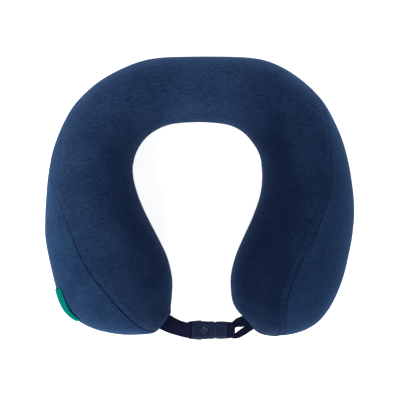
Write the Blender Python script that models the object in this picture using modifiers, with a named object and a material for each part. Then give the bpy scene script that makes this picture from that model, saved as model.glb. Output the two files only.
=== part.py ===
"""U-shaped travel neck pillow lying on its flat base, the opening of the U towards -Y.

A moulded foam U sits in a thin liner and a sewn velour cover. The cover has a zip round the foot
of the back wall. A webbing strap and an elastic loop carry the two halves of a side-release
buckle across the opening. Metres, +Z up, origin under the centre of the object on the base.
"""

import math

import bmesh
import bpy
import numpy as np
from mathutils import Vector

MM = 0.001

# Back of the U: rings cut radially about the vertical axis, one each STEP_DEG from the centre.
STEP_DEG = 7.5
BACK_OUTER_R = (137.4, 138.6, 142.2, 146.4, 149.4, 151.2, 152.2, 152.2, 150.9)
BACK_INNER_R = (75.7, 76.0, 77.0, 78.3, 79.0, 78.6, 77.6, 75.2, 72.0)
ZIP_END_DEG = 60.0
ZIP_STEP_DEG = 60.3

# Arms: outer and inner edge of each ring seen from above, from the back towards the tip.
ARM_OUTER = (
    (142.1, 45.6), (147.4, 16.5), (149.6, -12.6), (148.3, -36.0),
    (145.0, -56.0), (140.5, -76.0), (134.0, -97.0), (121.5, -114.5),
)
ARM_INNER = (
    (63.2, 30.0), (60.5, 10.0), (53.0, -12.5), (45.0, -30.0),
    (37.0, -46.5), (31.0, -62.0), (28.7, -78.0), (29.0, -90.0),
)
TIP_OUTER = {
    "left": ((105.0, -124.5), (88.0, -130.2), (70.0, -131.7), (54.0, -130.5), (44.5, -128.4), (39.8, -127.2)),
    "right": ((105.0, -124.5), (90.0, -129.8), (76.0, -131.5), (64.5, -130.8), (57.5, -129.0), (54.2, -127.6)),
}
TIP_INNER = {
    "left": ((30.0, -97.5), (30.6, -102.5), (31.0, -106.0), (31.0, -109.0), (30.2, -111.0), (29.8, -112.1)),
    "right": ((30.0, -96.0), (31.5, -101.5), (34.0, -106.0), (37.3, -109.8), (40.8, -112.2), (43.0, -113.2)),
}

# Height of the top and of the base of each ring, from the centre of the back to the tip.
TOP_Z = (
    88.0, 88.5, 90.0, 92.0, 94.5, 97.0, 99.5, 102.0, 104.0, 104.2,
    107.0, 110.0, 112.0, 112.0, 111.0, 109.0, 105.5, 100.0,
    92.0, 83.0, 73.0, 62.0, 51.0, 40.2,
)
BASE_Z = (0.0,) * 19 + (2.0, 7.0, 15.5, 26.0, 35.8)
TOP_POWER = (2.3,) * 23 + (3.5,)

# Foot of the outer wall: where it stands inside the widest point, and how round its foot is.
WALL_R = 133.0
WALL_INSET = (15.5, 12.5, 9.5, 8.0, 7.5, 7.0, 6.5, 6.0, 5.5, 5.0, 4.0, 3.0, 2.0, 0.3)
WALL_FOOT = (10.0,) * 10 + (11.5, 14.0, 17.0, 18.5, 19.0, 19.0, 18.0, 16.0, 13.5, 11.0, 8.0, 5.0, 2.5, 0.8)
INNER_FOOT = (16.0,) * 10 + (17.0, 18.0, 18.0, 18.0, 17.0, 16.0, 15.0, 14.0, 12.0, 9.0, 7.0, 5.0, 3.0, 0.8)

# Heights of the zip band on the back wall, and their shares of the ring's height on the arms.
ZIP_BAND = (10.8, 20.0, 29.2)
ARM_BAND = (0.105, 0.193, 0.282)
MID_ARM_BAND = (0.18, 0.25, 0.32)
SLOT_BAND = (0.30, 0.45, 0.60)
WIDEST = 0.46
SLOT_WIDEST = 0.70

# Seam between top panel and side panel. Below 1: share of the half-width on the upper face.
# From 3 to 4: a place on the outer wall under the widest point, 4 being the widest point itself.
SEAM = {
    "left": (
        3.65, 3.65, 3.65, 3.65, 3.68, 3.72, 3.76, 3.8, 3.88, 3.88,
        0.985, 0.90, 0.74, 0.63, 0.56, 0.43, 0.21, 0.07,
        0.07, 0.10, 0.27, 0.60, 0.97, 3.8,
    ),
    "right": (
        3.65, 3.65, 3.66, 3.7, 3.78, 3.88, 0.99, 0.93, 0.84, 0.835,
        0.68, 0.55, 0.39, 0.30, 0.21, 0.15, 0.12, 0.16,
        0.33, 0.63, 3.9, 3.6, 3.4, 3.4,
    ),
}
INNER_SEAM = 6.75

COVER_T = 1.5
SEAM_GAP = 0.6
SLOT_BASE_EDGE = 1.5
LINER_DEPTH = 4.6
LINER_T = 0.5
FOAM_DEPTH = 6.1
LINER_END = 21

# Label on the left side panel.
LABEL_U = (15.55, 16.0, 16.5, 17.0, 17.3)
LABEL_S = (3.45, 3.6, 3.75, 3.9, 4.0, 4.1)
LABEL_T = 0.6
LABEL_GAP = 0.35

# Zip.
TAPE_T = 1.1
TAPE_SINK = 0.2
TAPE_UPPER_Z = (22.9, 28.8)
TAPE_LOWER_Z = (11.2, 17.1)
COIL_UPPER_Z = (20.9, 22.6)
COIL_LOWER_Z = (17.4, 19.1)
COIL_DEPTH = (-1.5, 0.0)
COIL_END_DEG = 57.0
STOP_DEG = (57.3, 58.1)
SLIDER_REST_DEG = -52.0
SLIDER_L = 9.0
SLIDER_W = 8.0
SLIDER_OUTER = (0.35, 1.35)
SLIDER_INNER = (-2.6, -2.0)
POST_L = 3.0
POST_W = 1.0
PIN_R = 0.5
PIN_OUT = 2.9
LUG_Z = (1.9, 2.9)
TAB_L = 17.0
TAB_W = 3.2
TAB_T = 1.0
EYE_R = 1.35
EYE_HOLE_R = 0.8

# Buckle: x along its length, y across it.
BUCKLE_Y = -127.7
BUCKLE_Z = 38.0
SOCKET_X = (-11.2, 14.6)
SOCKET_HALF_W = 9.7
SOCKET_HALF_T = 3.5
BAR_X = (-11.2, -8.6)
BAR_HALF_T = 1.5
STRAP_SLOT_X = (-8.6, -5.2)
STRAP_SLOT_HALF = 7.9
CAVITY_X = 1.6
CAVITY_HALF_W = 7.6
CAVITY_HALF_T = 2.3
WINDOW_X = (1.9, 9.6)
RECESS_AT = 4.4
RECESS_HALF = (4.4, 2.0)
RECESS_DEPTH = 0.6
PLUG_X = (14.9, 33.5)
PLUG_HALF_W = 8.35
PLUG_HALF_T = 3.4
LOOP_SLOT_X = (26.6, 30.4)
LOOP_SLOT_HALF = 6.9
TONGUE_X = 3.0
TONGUE_HALF_W = 1.4
TONGUE_HALF_T = 1.6
HINGE_X = 16.4
HINGE_Y = 6.0
BARREL_R = 1.3
POCKET_R = 1.6
ARM_HALF_T = 1.9
SLIDE = 13.0
ARM_SWING_DEG = 10.0

# Straps.
WEBBING_W = 15.0
WEBBING_T = 1.1
ELASTIC_W = 6.0
ELASTIC_T = 0.9
SLEEVE_HALF = 6.5


def clear_scene():
    for thing in list(bpy.data.objects):
        bpy.data.objects.remove(thing, do_unlink=True)


def new_collection(name, hidden=False):
    made = bpy.data.collections.new(name)
    bpy.context.scene.collection.children.link(made)
    made.hide_render = hidden
    return made


def material(name, colour, roughness, metallic=0.0, sheen=0.0):
    made = bpy.data.materials.new(name)
    made.use_nodes = True
    shader = made.node_tree.nodes["Principled BSDF"]
    shader.inputs["Base Color"].default_value = (*colour, 1.0)
    shader.inputs["Roughness"].default_value = roughness
    shader.inputs["Metallic"].default_value = metallic
    shader.inputs["Sheen Weight"].default_value = sheen
    return made


def add_mesh(name, points, faces, shader=None, collection=None):
    """A mesh object from points in millimetres."""
    mesh = bpy.data.meshes.new(name)
    mesh.from_pydata([tuple(c * MM for c in p) for p in points], [], faces)
    mesh.update()
    made = bpy.data.objects.new(name, mesh)
    (collection or PILLOW).objects.link(made)
    if shader:
        mesh.materials.append(shader)
    return made


def face_outward(thing):
    work = bmesh.new()
    work.from_mesh(thing.data)
    bmesh.ops.recalc_face_normals(work, faces=work.faces)
    work.to_mesh(thing.data)
    work.free()


def smooth(thing, angle=35.0):
    for face in thing.data.polygons:
        face.use_smooth = True
    thing.data.set_sharp_from_angle(angle=math.radians(angle))


def bevel(thing, width, segments=2, angle=40.0):
    made = thing.modifiers.new("edge_round", "BEVEL")
    made.width = width * MM
    made.segments = segments
    made.limit_method = "ANGLE"
    made.angle_limit = math.radians(angle)


def boolean(thing, other, operation="DIFFERENCE"):
    made = thing.modifiers.new(operation.lower() + "_" + other.name, "BOOLEAN")
    made.operation = operation
    made.solver = "EXACT"
    made.object = other


def hide(thing):
    thing.hide_render = True
    thing.display_type = "WIRE"


def slab(name, outline, low, high, shader=None, collection=None):
    """A flat outline in x and y raised from one height to another."""
    count = len(outline)
    points = [(x, y, low) for x, y in outline] + [(x, y, high) for x, y in outline]
    faces = [tuple(range(count))[::-1], tuple(range(count, 2 * count))]
    faces += [(i, (i + 1) % count, (i + 1) % count + count, i + count) for i in range(count)]
    made = add_mesh(name, points, faces, shader, collection)
    face_outward(made)
    return made


def rectangle(x0, x1, y0, y1):
    return [(x0, y0), (x1, y0), (x1, y1), (x0, y1)]


def rounded_outline(x0, x1, half, radii, segments=5):
    """A rectangle centred on y = 0 with its own corner radius at each end."""
    corners = (
        (x1 - radii[1], half - radii[1], radii[1], 0),
        (x0 + radii[0], half - radii[0], radii[0], 90),
        (x0 + radii[0], radii[0] - half, radii[0], 180),
        (x1 - radii[1], radii[1] - half, radii[1], 270),
    )
    found = []
    for x, y, r, start in corners:
        for i in range(segments + 1):
            angle = math.radians(start + 90 * i / segments)
            found.append((x + r * math.cos(angle), y + r * math.sin(angle)))
    return found


def circle(x, y, rx, ry=None, segments=20):
    turns = [2 * math.pi * i / segments for i in range(segments)]
    return [(x + rx * math.cos(t), y + (ry or rx) * math.sin(t)) for t in turns]


def moved(outline, dx, dy):
    return [(x + dx, y + dy) for x, y in outline]


# The pillow's surface. Station 0 is the centre of the back, 23 and -23 are the slots in the tips.
# Place s runs round a ring: 0 inner foot, 1 outer foot, 2 to 3 the upright foot of the outer wall,
# 4 the widest point outside, 5 the top, 6 the widest point inside and 7 the inner foot again.
LAST = 23


def ring_of(station):
    k = abs(station)
    side = "right" if station >= 0 else "left"
    if k <= 9:
        angle = math.radians(k * STEP_DEG if k <= 8 else ZIP_STEP_DEG)
        way = np.array((math.sin(angle), math.cos(angle)))
        outer = way * BACK_OUTER_R[min(k, 8)]
        inner = way * BACK_INNER_R[min(k, 8)]
    elif k <= 17:
        outer = np.array(ARM_OUTER[k - 10])
        inner = np.array(ARM_INNER[k - 10])
    else:
        outer = np.array(TIP_OUTER[side][k - 18])
        inner = np.array(TIP_INNER[side][k - 18])
    centre = (outer + inner) / 2
    half = float(np.linalg.norm(outer - inner)) / 2
    way = (outer - inner) / (2 * half)
    base, top = BASE_Z[k], TOP_Z[k]
    if k <= 9:
        wall = WALL_R - float(np.linalg.norm(centre))
        band = ZIP_BAND
        widest = base + WIDEST * (top - base)
    else:
        wall = half - WALL_INSET[k - 10]
        share = min(max((k - 18) / (LAST - 18), 0.0), 1.0) ** 2
        lift = min((k - 9) / 5, 1.0)
        arm = [a + lift * (b - a) for a, b in zip(ARM_BAND, MID_ARM_BAND)]
        shares = [a + share * (b - a) for a, b in zip(arm, SLOT_BAND)]
        band = [base + part * (top - base) for part in shares]
        widest = base + (WIDEST + share * (SLOT_WIDEST - WIDEST)) * (top - base)
    if station < 0:
        centre = centre * (-1, 1)
        way = way * (-1, 1)
    return {
        "centre": centre, "way": way, "half": half, "base": base, "top": top,
        "wall": wall, "band": band, "widest": widest, "power": TOP_POWER[k],
        "foot": wall - WALL_FOOT[k], "inner_foot": INNER_FOOT[k] - half,
    }


def quarter(t, power):
    """A quarter of a superellipse: (1, 0) at t = 0, (0, 1) at t = 1."""
    angle = t * math.pi / 2
    return max(math.cos(angle), 0.0) ** (2 / power), max(math.sin(angle), 0.0) ** (2 / power)


def place_of(ring, s):
    """Distance outward from the ring's centre, and height, at place s."""
    s = s % 7
    part, t = int(s), s - int(s)
    low, _, high = ring["band"]
    if part == 0:
        return ring["inner_foot"] + t * (ring["foot"] - ring["inner_foot"]), ring["base"]
    if part == 1:
        up, out = quarter(t, 2.0)
        return (
            ring["foot"] + out * (ring["wall"] - ring["foot"]),
            low - up * (low - ring["base"]),
        )
    if part == 2:
        return ring["wall"], low + t * (high - low)
    if part == 3:
        ease = t * t * (4.5 - 5 * t + 1.5 * t * t)
        return ring["wall"] + ease * (ring["half"] - ring["wall"]), high + t * (ring["widest"] - high)
    if part == 4:
        out, up = quarter(t, ring["power"])
        return out * ring["half"], ring["widest"] + up * (ring["top"] - ring["widest"])
    if part == 5:
        up, out = quarter(t, ring["power"])
        return -out * ring["half"], ring["widest"] + up * (ring["top"] - ring["widest"])
    out, down = quarter(t, 2.3)
    return (
        ring["inner_foot"] - out * (ring["half"] + ring["inner_foot"]),
        ring["widest"] - down * (ring["widest"] - ring["base"]),
    )


RINGS = {k: ring_of(k) for k in range(-LAST, LAST + 1)}


def on_ring(station, s):
    ring = RINGS[station]
    out, height = place_of(ring, s)
    flat = ring["centre"] + out * ring["way"]
    return np.array((flat[0], flat[1], height))


def on_surface(u, s):
    low = int(math.floor(u))
    high = min(low + 1, LAST)
    part = u - low
    return (1 - part) * on_ring(low, s) + part * on_ring(high, s)


def outward(u, s):
    reach = 1.0 if abs(u - round(u)) < 1e-9 else 0.3
    along = on_surface(min(u + reach, LAST), s) - on_surface(max(u - reach, -LAST), s)
    across = on_surface(u, s + 0.02) - on_surface(u, s - 0.02)
    found = np.cross(across, along)
    return found / np.linalg.norm(found)


def at_depth(u, s, depth):
    return on_surface(u, s) - depth * outward(u, s)


def seam_place(station):
    """Where the seam between top and side panel crosses this ring."""
    value = SEAM["right" if station >= 0 else "left"][abs(station)]
    if value > 1:
        return value
    return 4 + math.acos(value ** (TOP_POWER[abs(station)] / 2)) * 2 / math.pi


def step_for(station, s, distance):
    """The change of s that moves this far along the ring."""
    length = np.linalg.norm(on_ring(station, s + 0.01) - on_ring(station, s - 0.01))
    return distance * 0.02 / length


def seam_step(station, s, place):
    """Half the seam's gap as a change of s, larger where the seam runs along the ring."""
    here = on_ring(station, s)
    along = on_ring(station, s + 0.01) - on_ring(station, s - 0.01)
    along = along / np.linalg.norm(along)
    most = 1.0
    for other in (station - 1, station + 1):
        if abs(other) <= LAST:
            run = on_ring(other, place(other)) - here
            share = abs(run @ along) / np.linalg.norm(run)
            most = max(most, 1 / math.sqrt(max(1 - share * share, 0.06)))
    if abs(station) >= LAST - 2:
        most = max(most, 1.8 if abs(station) == LAST - 2 else 3.2)
    return step_for(station, s, most * SEAM_GAP / 2)


def grid_faces(rows, columns, wrap=False):
    faces = []
    for i in range(rows - 1):
        for j in range(columns if wrap else columns - 1):
            k = (j + 1) % columns
            faces.append((i * columns + j, i * columns + k, (i + 1) * columns + k, (i + 1) * columns + j))
    return faces


def panel(name, rows, shader, depths=(0.0, COVER_T), shifts=None):
    """A sewn piece of the surface: rows of (station, place), given a thickness between two depths."""
    skins = []
    for depth in depths:
        skin = [[at_depth(u, s, depth) for u, s in row] for row in rows]
        for i, shift in (shifts or {}).items():
            skin[i] = [p + (shift, 0, 0) for p in skin[i]]
        skins.append([p for row in skin for p in row])
    points = skins[0] + skins[1]
    across, along = len(rows[0]), len(rows)
    shift = across * along
    skin = grid_faces(along, across)
    faces = skin + [tuple(i + shift for i in face)[::-1] for face in skin]
    edge = list(range(across)) + [i * across + across - 1 for i in range(1, along)]
    edge += [shift - 1 - j for j in range(1, across)]
    edge += [i * across for i in range(along - 2, 0, -1)]
    for i, a in enumerate(edge):
        b = edge[(i + 1) % len(edge)]
        faces.append((a, b, b + shift, a + shift))
    made = add_mesh(name, points, faces, shader)
    face_outward(made)
    smooth(made, 60.0)
    return made


def tube(name, rows, shader, collection=None):
    """A closed loft of rings with a flat cap on each end."""
    count = len(rows[0])
    points = [p for row in rows for p in row]
    faces = grid_faces(len(rows), count, wrap=True)
    faces.append(tuple(range(count))[::-1])
    faces.append(tuple(range(len(points) - count, len(points))))
    made = add_mesh(name, points, faces, shader, collection)
    face_outward(made)
    smooth(made, 50.0)
    return made


def cover_top(shader):
    rows = []
    for k in range(-LAST, LAST + 1):
        start = seam_place(k)
        start += seam_step(k, start, seam_place)
        end = INNER_SEAM - seam_step(k, INNER_SEAM, lambda _: INNER_SEAM)
        rows.append([(k, s) for s in np.linspace(start, end, 15)])
    return panel("cover_top_panel", rows, shader)


def cover_side(side, shader):
    sign = 1 if side == "right" else -1
    rows = []
    for k in range(0, LAST + 1):
        start = 3.0 if k <= 8 else 2.5 + seam_step(sign * k, 2.5, lambda _: 2.5)
        end = seam_place(sign * k)
        end -= seam_step(sign * k, end, seam_place)
        rows.append([(sign * k, s) for s in np.linspace(start, end, 9)])
    return panel("cover_side_panel_" + side, rows, shader, shifts={0: sign * SEAM_GAP / 2})


def cover_base(shader):
    rows = []
    for k in range(-LAST, LAST + 1):
        start = INNER_SEAM - 7 + seam_step(k, INNER_SEAM, lambda _: INNER_SEAM)
        if abs(k) <= 8:
            places = (start, 0, 0.5, 1, 1.33, 1.67, 1.85, 1.999)
        else:
            end = SLOT_BASE_EDGE if abs(k) == LAST else 2.5 - seam_step(k, 2.5, lambda _: 2.5)
            places = (start, 0, 0.5, 1, *[1 + share * (end - 1) for share in (0.23, 0.46, 0.7, 1)])
        rows.append([(k, s) for s in places])
    return panel("cover_base_panel", rows, shader)


INNER_PLACES = (
    0, 0.5, 1, 1.5, 2, 3, 3.5, 4, 4.25, 4.5, 4.75, 5, 5.25, 5.5, 5.75, 6, 6.33, 6.67,
)


def foam(shader):
    stations = range(-LINER_END, LINER_END + 1)
    rows = [[at_depth(k, s, FOAM_DEPTH) for s in INNER_PLACES] for k in stations]
    return tube("foam_core", rows, shader)


def liner(shader):
    """A sleeve that stops at the arm tips, where it is open."""
    stations = range(-LINER_END, LINER_END + 1)
    outer = [[at_depth(k, s, LINER_DEPTH) for s in INNER_PLACES] for k in stations]
    inner = [[at_depth(k, s, LINER_DEPTH + LINER_T) for s in INNER_PLACES] for k in stations]
    count = len(INNER_PLACES)
    rows = len(outer)
    points = [p for row in outer for p in row] + [p for row in inner for p in row]
    skin = grid_faces(rows, count, wrap=True)
    shift = rows * count
    faces = skin + [tuple(i + shift for i in face)[::-1] for face in skin]
    for first in (0, (rows - 1) * count):
        for j in range(count):
            k = (j + 1) % count
            face = (first + j, first + k, first + k + shift, first + j + shift)
            faces.append(face if first else face[::-1])
    made = add_mesh("inner_liner", points, faces, shader)
    face_outward(made)
    smooth(made, 60.0)
    return made


def label(shader):
    rows = [[(-u, s) for s in LABEL_S] for u in LABEL_U]
    return panel("side_label", rows, shader, (-LABEL_GAP - LABEL_T, -LABEL_GAP))


def arc_strip(name, heights, depths, end_deg, shader):
    """A bar bent round the back wall: heights in z, depths outward from the wall."""
    angles = [k * STEP_DEG for k in range(-8, 9)]
    angles[0], angles[-1] = -end_deg, end_deg
    rows = []
    for angle in angles:
        turn = math.radians(angle)
        row = []
        for depth, z in ((0, 0), (1, 0), (1, 1), (0, 1)):
            radius = WALL_R + depths[depth]
            row.append((radius * math.sin(turn), radius * math.cos(turn), heights[z]))
        rows.append(row)
    made = tube(name, rows, shader)
    smooth(made, 20.0)
    return made


def on_wall(name, angle_deg, outline, low, high, shader=None, collection=None):
    """A slab whose outline is (along the zip, outward from the wall), set on the wall."""
    made = slab(name, outline, low, high, shader, collection)
    angle = math.radians(angle_deg)
    place_on_wall(made, angle)
    return made


def place_on_wall(thing, angle):
    along = np.array((math.cos(angle), -math.sin(angle), 0.0))
    out = np.array((math.sin(angle), math.cos(angle), 0.0))
    for vertex in thing.data.vertices:
        x, y, z = vertex.co
        spot = along * x + out * (y + WALL_R * MM)
        vertex.co = (spot[0], spot[1], z)
    face_outward(thing)


def zip_parts(tape, coil, metal):
    tape_depths = (-TAPE_SINK - TAPE_T, -TAPE_SINK)
    arc_strip("zip_tape_upper", TAPE_UPPER_Z, tape_depths, ZIP_END_DEG, tape)
    arc_strip("zip_tape_lower", TAPE_LOWER_Z, tape_depths, ZIP_END_DEG, tape)
    arc_strip("zip_coil_upper", COIL_UPPER_Z, COIL_DEPTH, COIL_END_DEG, coil)
    arc_strip("zip_coil_lower", COIL_LOWER_Z, COIL_DEPTH, COIL_END_DEG, coil)
    middle = (COIL_LOWER_Z[0] + COIL_UPPER_Z[1]) / 2
    for side, sign in (("left", -1), ("right", 1)):
        at = sign * (STOP_DEG[0] + STOP_DEG[1]) / 2
        reach = math.radians(STOP_DEG[1] - STOP_DEG[0]) * WALL_R / 2
        stop = on_wall(
            "zip_end_stop_" + side, at, rectangle(-reach, reach, -1.5, 0.5),
            COIL_LOWER_Z[0], COIL_UPPER_Z[1], metal,
        )
        bevel(stop, 0.25, 1)

    half_l, half_w = SLIDER_L / 2, SLIDER_W / 2
    body = on_wall(
        "zip_slider_body", SLIDER_REST_DEG,
        rounded_outline_xy(half_l, SLIDER_OUTER), middle - half_w, middle + half_w, metal,
    )
    bevel(body, 0.3, 1)
    helpers = [
        on_wall(
            "slider_inner_plate", SLIDER_REST_DEG, rectangle(-half_l, half_l, *SLIDER_INNER),
            middle - half_w + 0.8, middle + half_w - 0.8, None, CUTTERS,
        ),
        on_wall(
            "slider_post", SLIDER_REST_DEG, rectangle(-POST_L / 2, POST_L / 2, -2.3, 0.8),
            middle - POST_W / 2, middle + POST_W / 2, None, CUTTERS,
        ),
        on_wall(
            "slider_pin", SLIDER_REST_DEG, circle(0, PIN_OUT, PIN_R, segments=12),
            middle - LUG_Z[0] - 0.3, middle + LUG_Z[0] + 0.3, None, CUTTERS,
        ),
    ]
    lug = [(-1.3, 0.9), (1.3, 0.9), (1.0, 3.4), (0.5, 3.9), (-0.5, 3.9), (-1.0, 3.4)]
    for name, low, high in (
        ("slider_lug_low", middle - LUG_Z[1], middle - LUG_Z[0]),
        ("slider_lug_high", middle + LUG_Z[0], middle + LUG_Z[1]),
    ):
        helpers.append(on_wall(name, SLIDER_REST_DEG, lug, low, high, None, CUTTERS))
    for helper in helpers:
        hide(helper)
        boolean(body, helper, "UNION")
    smooth(body)

    # The tab lies along the zip at rest, its eye round the pin.
    outline = [
        (EYE_R * math.cos(math.radians(a)), PIN_OUT + EYE_R * math.sin(math.radians(a)))
        for a in range(-155, 160, 31)
    ]
    outline = [(-TAB_L, PIN_OUT - TAB_T / 2)] + outline + [(-TAB_L, PIN_OUT + TAB_T / 2)]
    tab = slab("zip_pull_tab", outline, middle - TAB_W / 2, middle + TAB_W / 2, metal)
    hole = slab(
        "pull_tab_eye", circle(0, PIN_OUT, EYE_HOLE_R, segments=16),
        middle - TAB_W, middle + TAB_W, None, CUTTERS,
    )
    grip = slab(
        "pull_tab_window", rectangle(-TAB_L + 2.2, -TAB_L + 8.2, PIN_OUT - 2, PIN_OUT + 2),
        middle - 0.8, middle + 0.8, None, CUTTERS,
    )
    for thing in (tab, hole, grip):
        place_on_wall(thing, math.radians(SLIDER_REST_DEG))
    for cutter in (hole, grip):
        hide(cutter)
        boolean(tab, cutter)
    set_origin(tab, on_wall_point(SLIDER_REST_DEG, PIN_OUT, middle))
    smooth(tab)
    return tab, body


def rounded_outline_xy(half, depths):
    """The slider's upper plate seen from above: its two ends turn down a little."""
    low, high = depths
    return [(-half, low), (half, low), (half, high - 0.3), (half - 0.6, high), (0.6 - half, high), (-half, high - 0.3)]


def on_wall_point(angle_deg, out, height):
    angle = math.radians(angle_deg)
    radius = WALL_R + out
    return Vector((radius * math.sin(angle) * MM, radius * math.cos(angle) * MM, height * MM))


def set_origin(thing, point):
    for vertex in thing.data.vertices:
        vertex.co -= point
    thing.location = point


def buckle_socket(shader):
    z0, z1 = BUCKLE_Z - SOCKET_HALF_T, BUCKLE_Z + SOCKET_HALF_T
    outline = rounded_outline(SOCKET_X[0], SOCKET_X[1], SOCKET_HALF_W, (4.5, 1.6))
    body = slab("buckle_socket", moved(outline, 0, BUCKLE_Y), z0, z1, shader)
    bevel(body, 0.9, 2)
    middle = moved(rectangle(CAVITY_X, 20, -CAVITY_HALF_W, CAVITY_HALF_W), 0, BUCKLE_Y)
    slot = rounded_outline(*STRAP_SLOT_X, STRAP_SLOT_HALF, (0.8, 0.8), 3)
    oval = circle(RECESS_AT, BUCKLE_Y, *RECESS_HALF, segments=24)
    past = SOCKET_HALF_W + 3
    window = moved(rectangle(*WINDOW_X, -past, past), 0, BUCKLE_Y)
    over_bar = moved(rectangle(BAR_X[0] - 3, STRAP_SLOT_X[0] + 0.1, -STRAP_SLOT_HALF, STRAP_SLOT_HALF), 0, BUCKLE_Y)
    cutters = [
        slab("socket_cavity", middle, BUCKLE_Z - CAVITY_HALF_T, BUCKLE_Z + CAVITY_HALF_T, None, CUTTERS),
        slab("socket_strap_slot", moved(slot, 0, BUCKLE_Y), z0 - 2, z1 + 2, None, CUTTERS),
        slab("socket_windows", window, BUCKLE_Z - CAVITY_HALF_T, BUCKLE_Z + CAVITY_HALF_T, None, CUTTERS),
        slab("socket_oval_recess", oval, z1 - RECESS_DEPTH, z1 + 2, None, CUTTERS),
        slab("socket_bar_top", over_bar, BUCKLE_Z + BAR_HALF_T, z1 + 2, None, CUTTERS),
        slab("socket_bar_under", over_bar, z0 - 2, BUCKLE_Z - BAR_HALF_T, None, CUTTERS),
    ]
    for cutter in cutters:
        hide(cutter)
        boolean(body, cutter)
    smooth(body)
    return body


def buckle_plug(shader):
    z0, z1 = BUCKLE_Z - PLUG_HALF_T, BUCKLE_Z + PLUG_HALF_T
    outline = rounded_outline(*PLUG_X, PLUG_HALF_W, (1.4, 4.0))
    body = slab("buckle_plug_frame", moved(outline, 0, BUCKLE_Y), z0, z1, shader)
    bevel(body, 0.9, 2)
    slot = rounded_outline(*LOOP_SLOT_X, LOOP_SLOT_HALF, (0.8, 0.8), 3)
    over_bar = moved(rectangle(LOOP_SLOT_X[1] - 0.1, PLUG_X[1] + 3, -LOOP_SLOT_HALF, LOOP_SLOT_HALF), 0, BUCKLE_Y)
    tongue = moved(rectangle(TONGUE_X, PLUG_X[0] + 2, -TONGUE_HALF_W, TONGUE_HALF_W), 0, BUCKLE_Y)
    guide = slab("plug_tongue", tongue, BUCKLE_Z - TONGUE_HALF_T, BUCKLE_Z + TONGUE_HALF_T, None, CUTTERS)
    hide(guide)
    boolean(body, guide, "UNION")
    cutters = [
        slab("plug_loop_slot", moved(slot, 0, BUCKLE_Y), z0 - 2, z1 + 2, None, CUTTERS),
        slab("plug_bar_top", over_bar, BUCKLE_Z + BAR_HALF_T, z1 + 2, None, CUTTERS),
        slab("plug_bar_under", over_bar, z0 - 2, BUCKLE_Z - BAR_HALF_T, None, CUTTERS),
    ]
    reach = ARM_HALF_T + 0.3
    for side, sign in (("rear", 1), ("front", -1)):
        y = BUCKLE_Y + sign * HINGE_Y
        pocket = circle(HINGE_X, y, POCKET_R, segments=20)
        mouth = rectangle(PLUG_X[0] - 2, HINGE_X, y - POCKET_R, y + POCKET_R)
        cutters.append(slab("plug_pocket_" + side, pocket, BUCKLE_Z - reach, BUCKLE_Z + reach, None, CUTTERS))
        cutters.append(slab("plug_mouth_" + side, mouth, BUCKLE_Z - reach, BUCKLE_Z + reach, None, CUTTERS))
    for cutter in cutters:
        hide(cutter)
        boolean(body, cutter)
    smooth(body)
    return body


def latch_arm(side, shader):
    """An arm with a round root. Its ear rises just as fast as the arm swings clear of the socket."""
    sign = 1 if side == "rear" else -1
    turn = math.radians(ARM_SWING_DEG) / SLIDE
    edge = HINGE_X - WINDOW_X[1]
    wall = CAVITY_HALF_W - 0.3 - HINGE_Y
    outer = [(-edge, wall)]
    for reach in (8.0, 9.5, 11.0, 12.3, 13.2):
        outer.append((-reach, wall + turn * (reach - edge) * reach))
    outer += [(-13.9, wall + 0.2), (-14.2, wall - 0.9)]
    root = [
        (BARREL_R * math.cos(math.radians(a)), BARREL_R * math.sin(math.radians(a)))
        for a in range(-110, 91, 20)
    ]
    inner = [(-13.6, wall - 1.7), (-9.0, wall - 1.9), (-1.6, wall - 2.1)]
    outline = [(x, sign * y) for x, y in root + [(-1.6, wall)] + outer + inner]
    y = BUCKLE_Y + sign * HINGE_Y
    made = slab(
        "buckle_latch_arm_" + side, moved(outline, HINGE_X, y),
        BUCKLE_Z - ARM_HALF_T, BUCKLE_Z + ARM_HALF_T, shader,
    )
    set_origin(made, Vector((HINGE_X * MM, y * MM, BUCKLE_Z * MM)))
    smooth(made)
    return made


def ribbon(name, stations, width, thickness, shader, collection=None):
    """A flat band along points. Each station is a point and the direction across the band."""
    points = [np.array(p, float) for p, _ in stations]
    rows = []
    for i, (point, across) in enumerate(stations):
        ahead = points[min(i + 1, len(points) - 1)] - points[max(i - 1, 0)]
        across = np.array(across, float)
        across = across - ahead * (across @ ahead) / (ahead @ ahead)
        across = across / np.linalg.norm(across)
        up = np.cross(ahead, across)
        up = up / np.linalg.norm(up) * thickness / 2
        side = across * width / 2
        middle = points[i]
        rows.append([middle - side - up, middle + side - up, middle + side + up, middle - side + up])
    return tube(name, rows, shader, collection)


def heading(degrees):
    """The direction across a band that runs level at this angle from +X."""
    turn = math.radians(degrees)
    return (-math.sin(turn), math.cos(turn), 0.0)


def strap_webbing(shader):
    """Out of the left tip, over the socket's bar, back under it and into the tip again."""
    plan = (
        (-39.0, -116.9, -32), (-34.8, -119.65, -32), (-29.5, -122.3, -25), (-23.5, -124.7, -19),
        (-18.0, -126.3, -12), (-14.6, -127.2, -5),
    )
    lift = (WEBBING_T + 0.35) / 2
    out = [((x, y, BUCKLE_Z + lift), heading(a)) for x, y, a in plan]
    back = [((x, y, BUCKLE_Z - lift), heading(a)) for x, y, a in plan[::-1]]
    over = BAR_HALF_T + 0.35 + WEBBING_T / 2
    eye = (
        (-12.6, 0.72 * over), (-11.3, over), (-9.3, over), (-8.2, 0.82 * over), (-7.65, 0.4 * over),
        (-7.65, -0.4 * over), (-8.2, -0.82 * over), (-9.3, -over), (-11.3, -over), (-12.6, -0.72 * over),
    )
    turn = [((x, BUCKLE_Y, BUCKLE_Z + z), (0, 1, 0)) for x, z in eye]
    return ribbon("strap_webbing", out + turn + back, WEBBING_W, WEBBING_T, shader)


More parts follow.
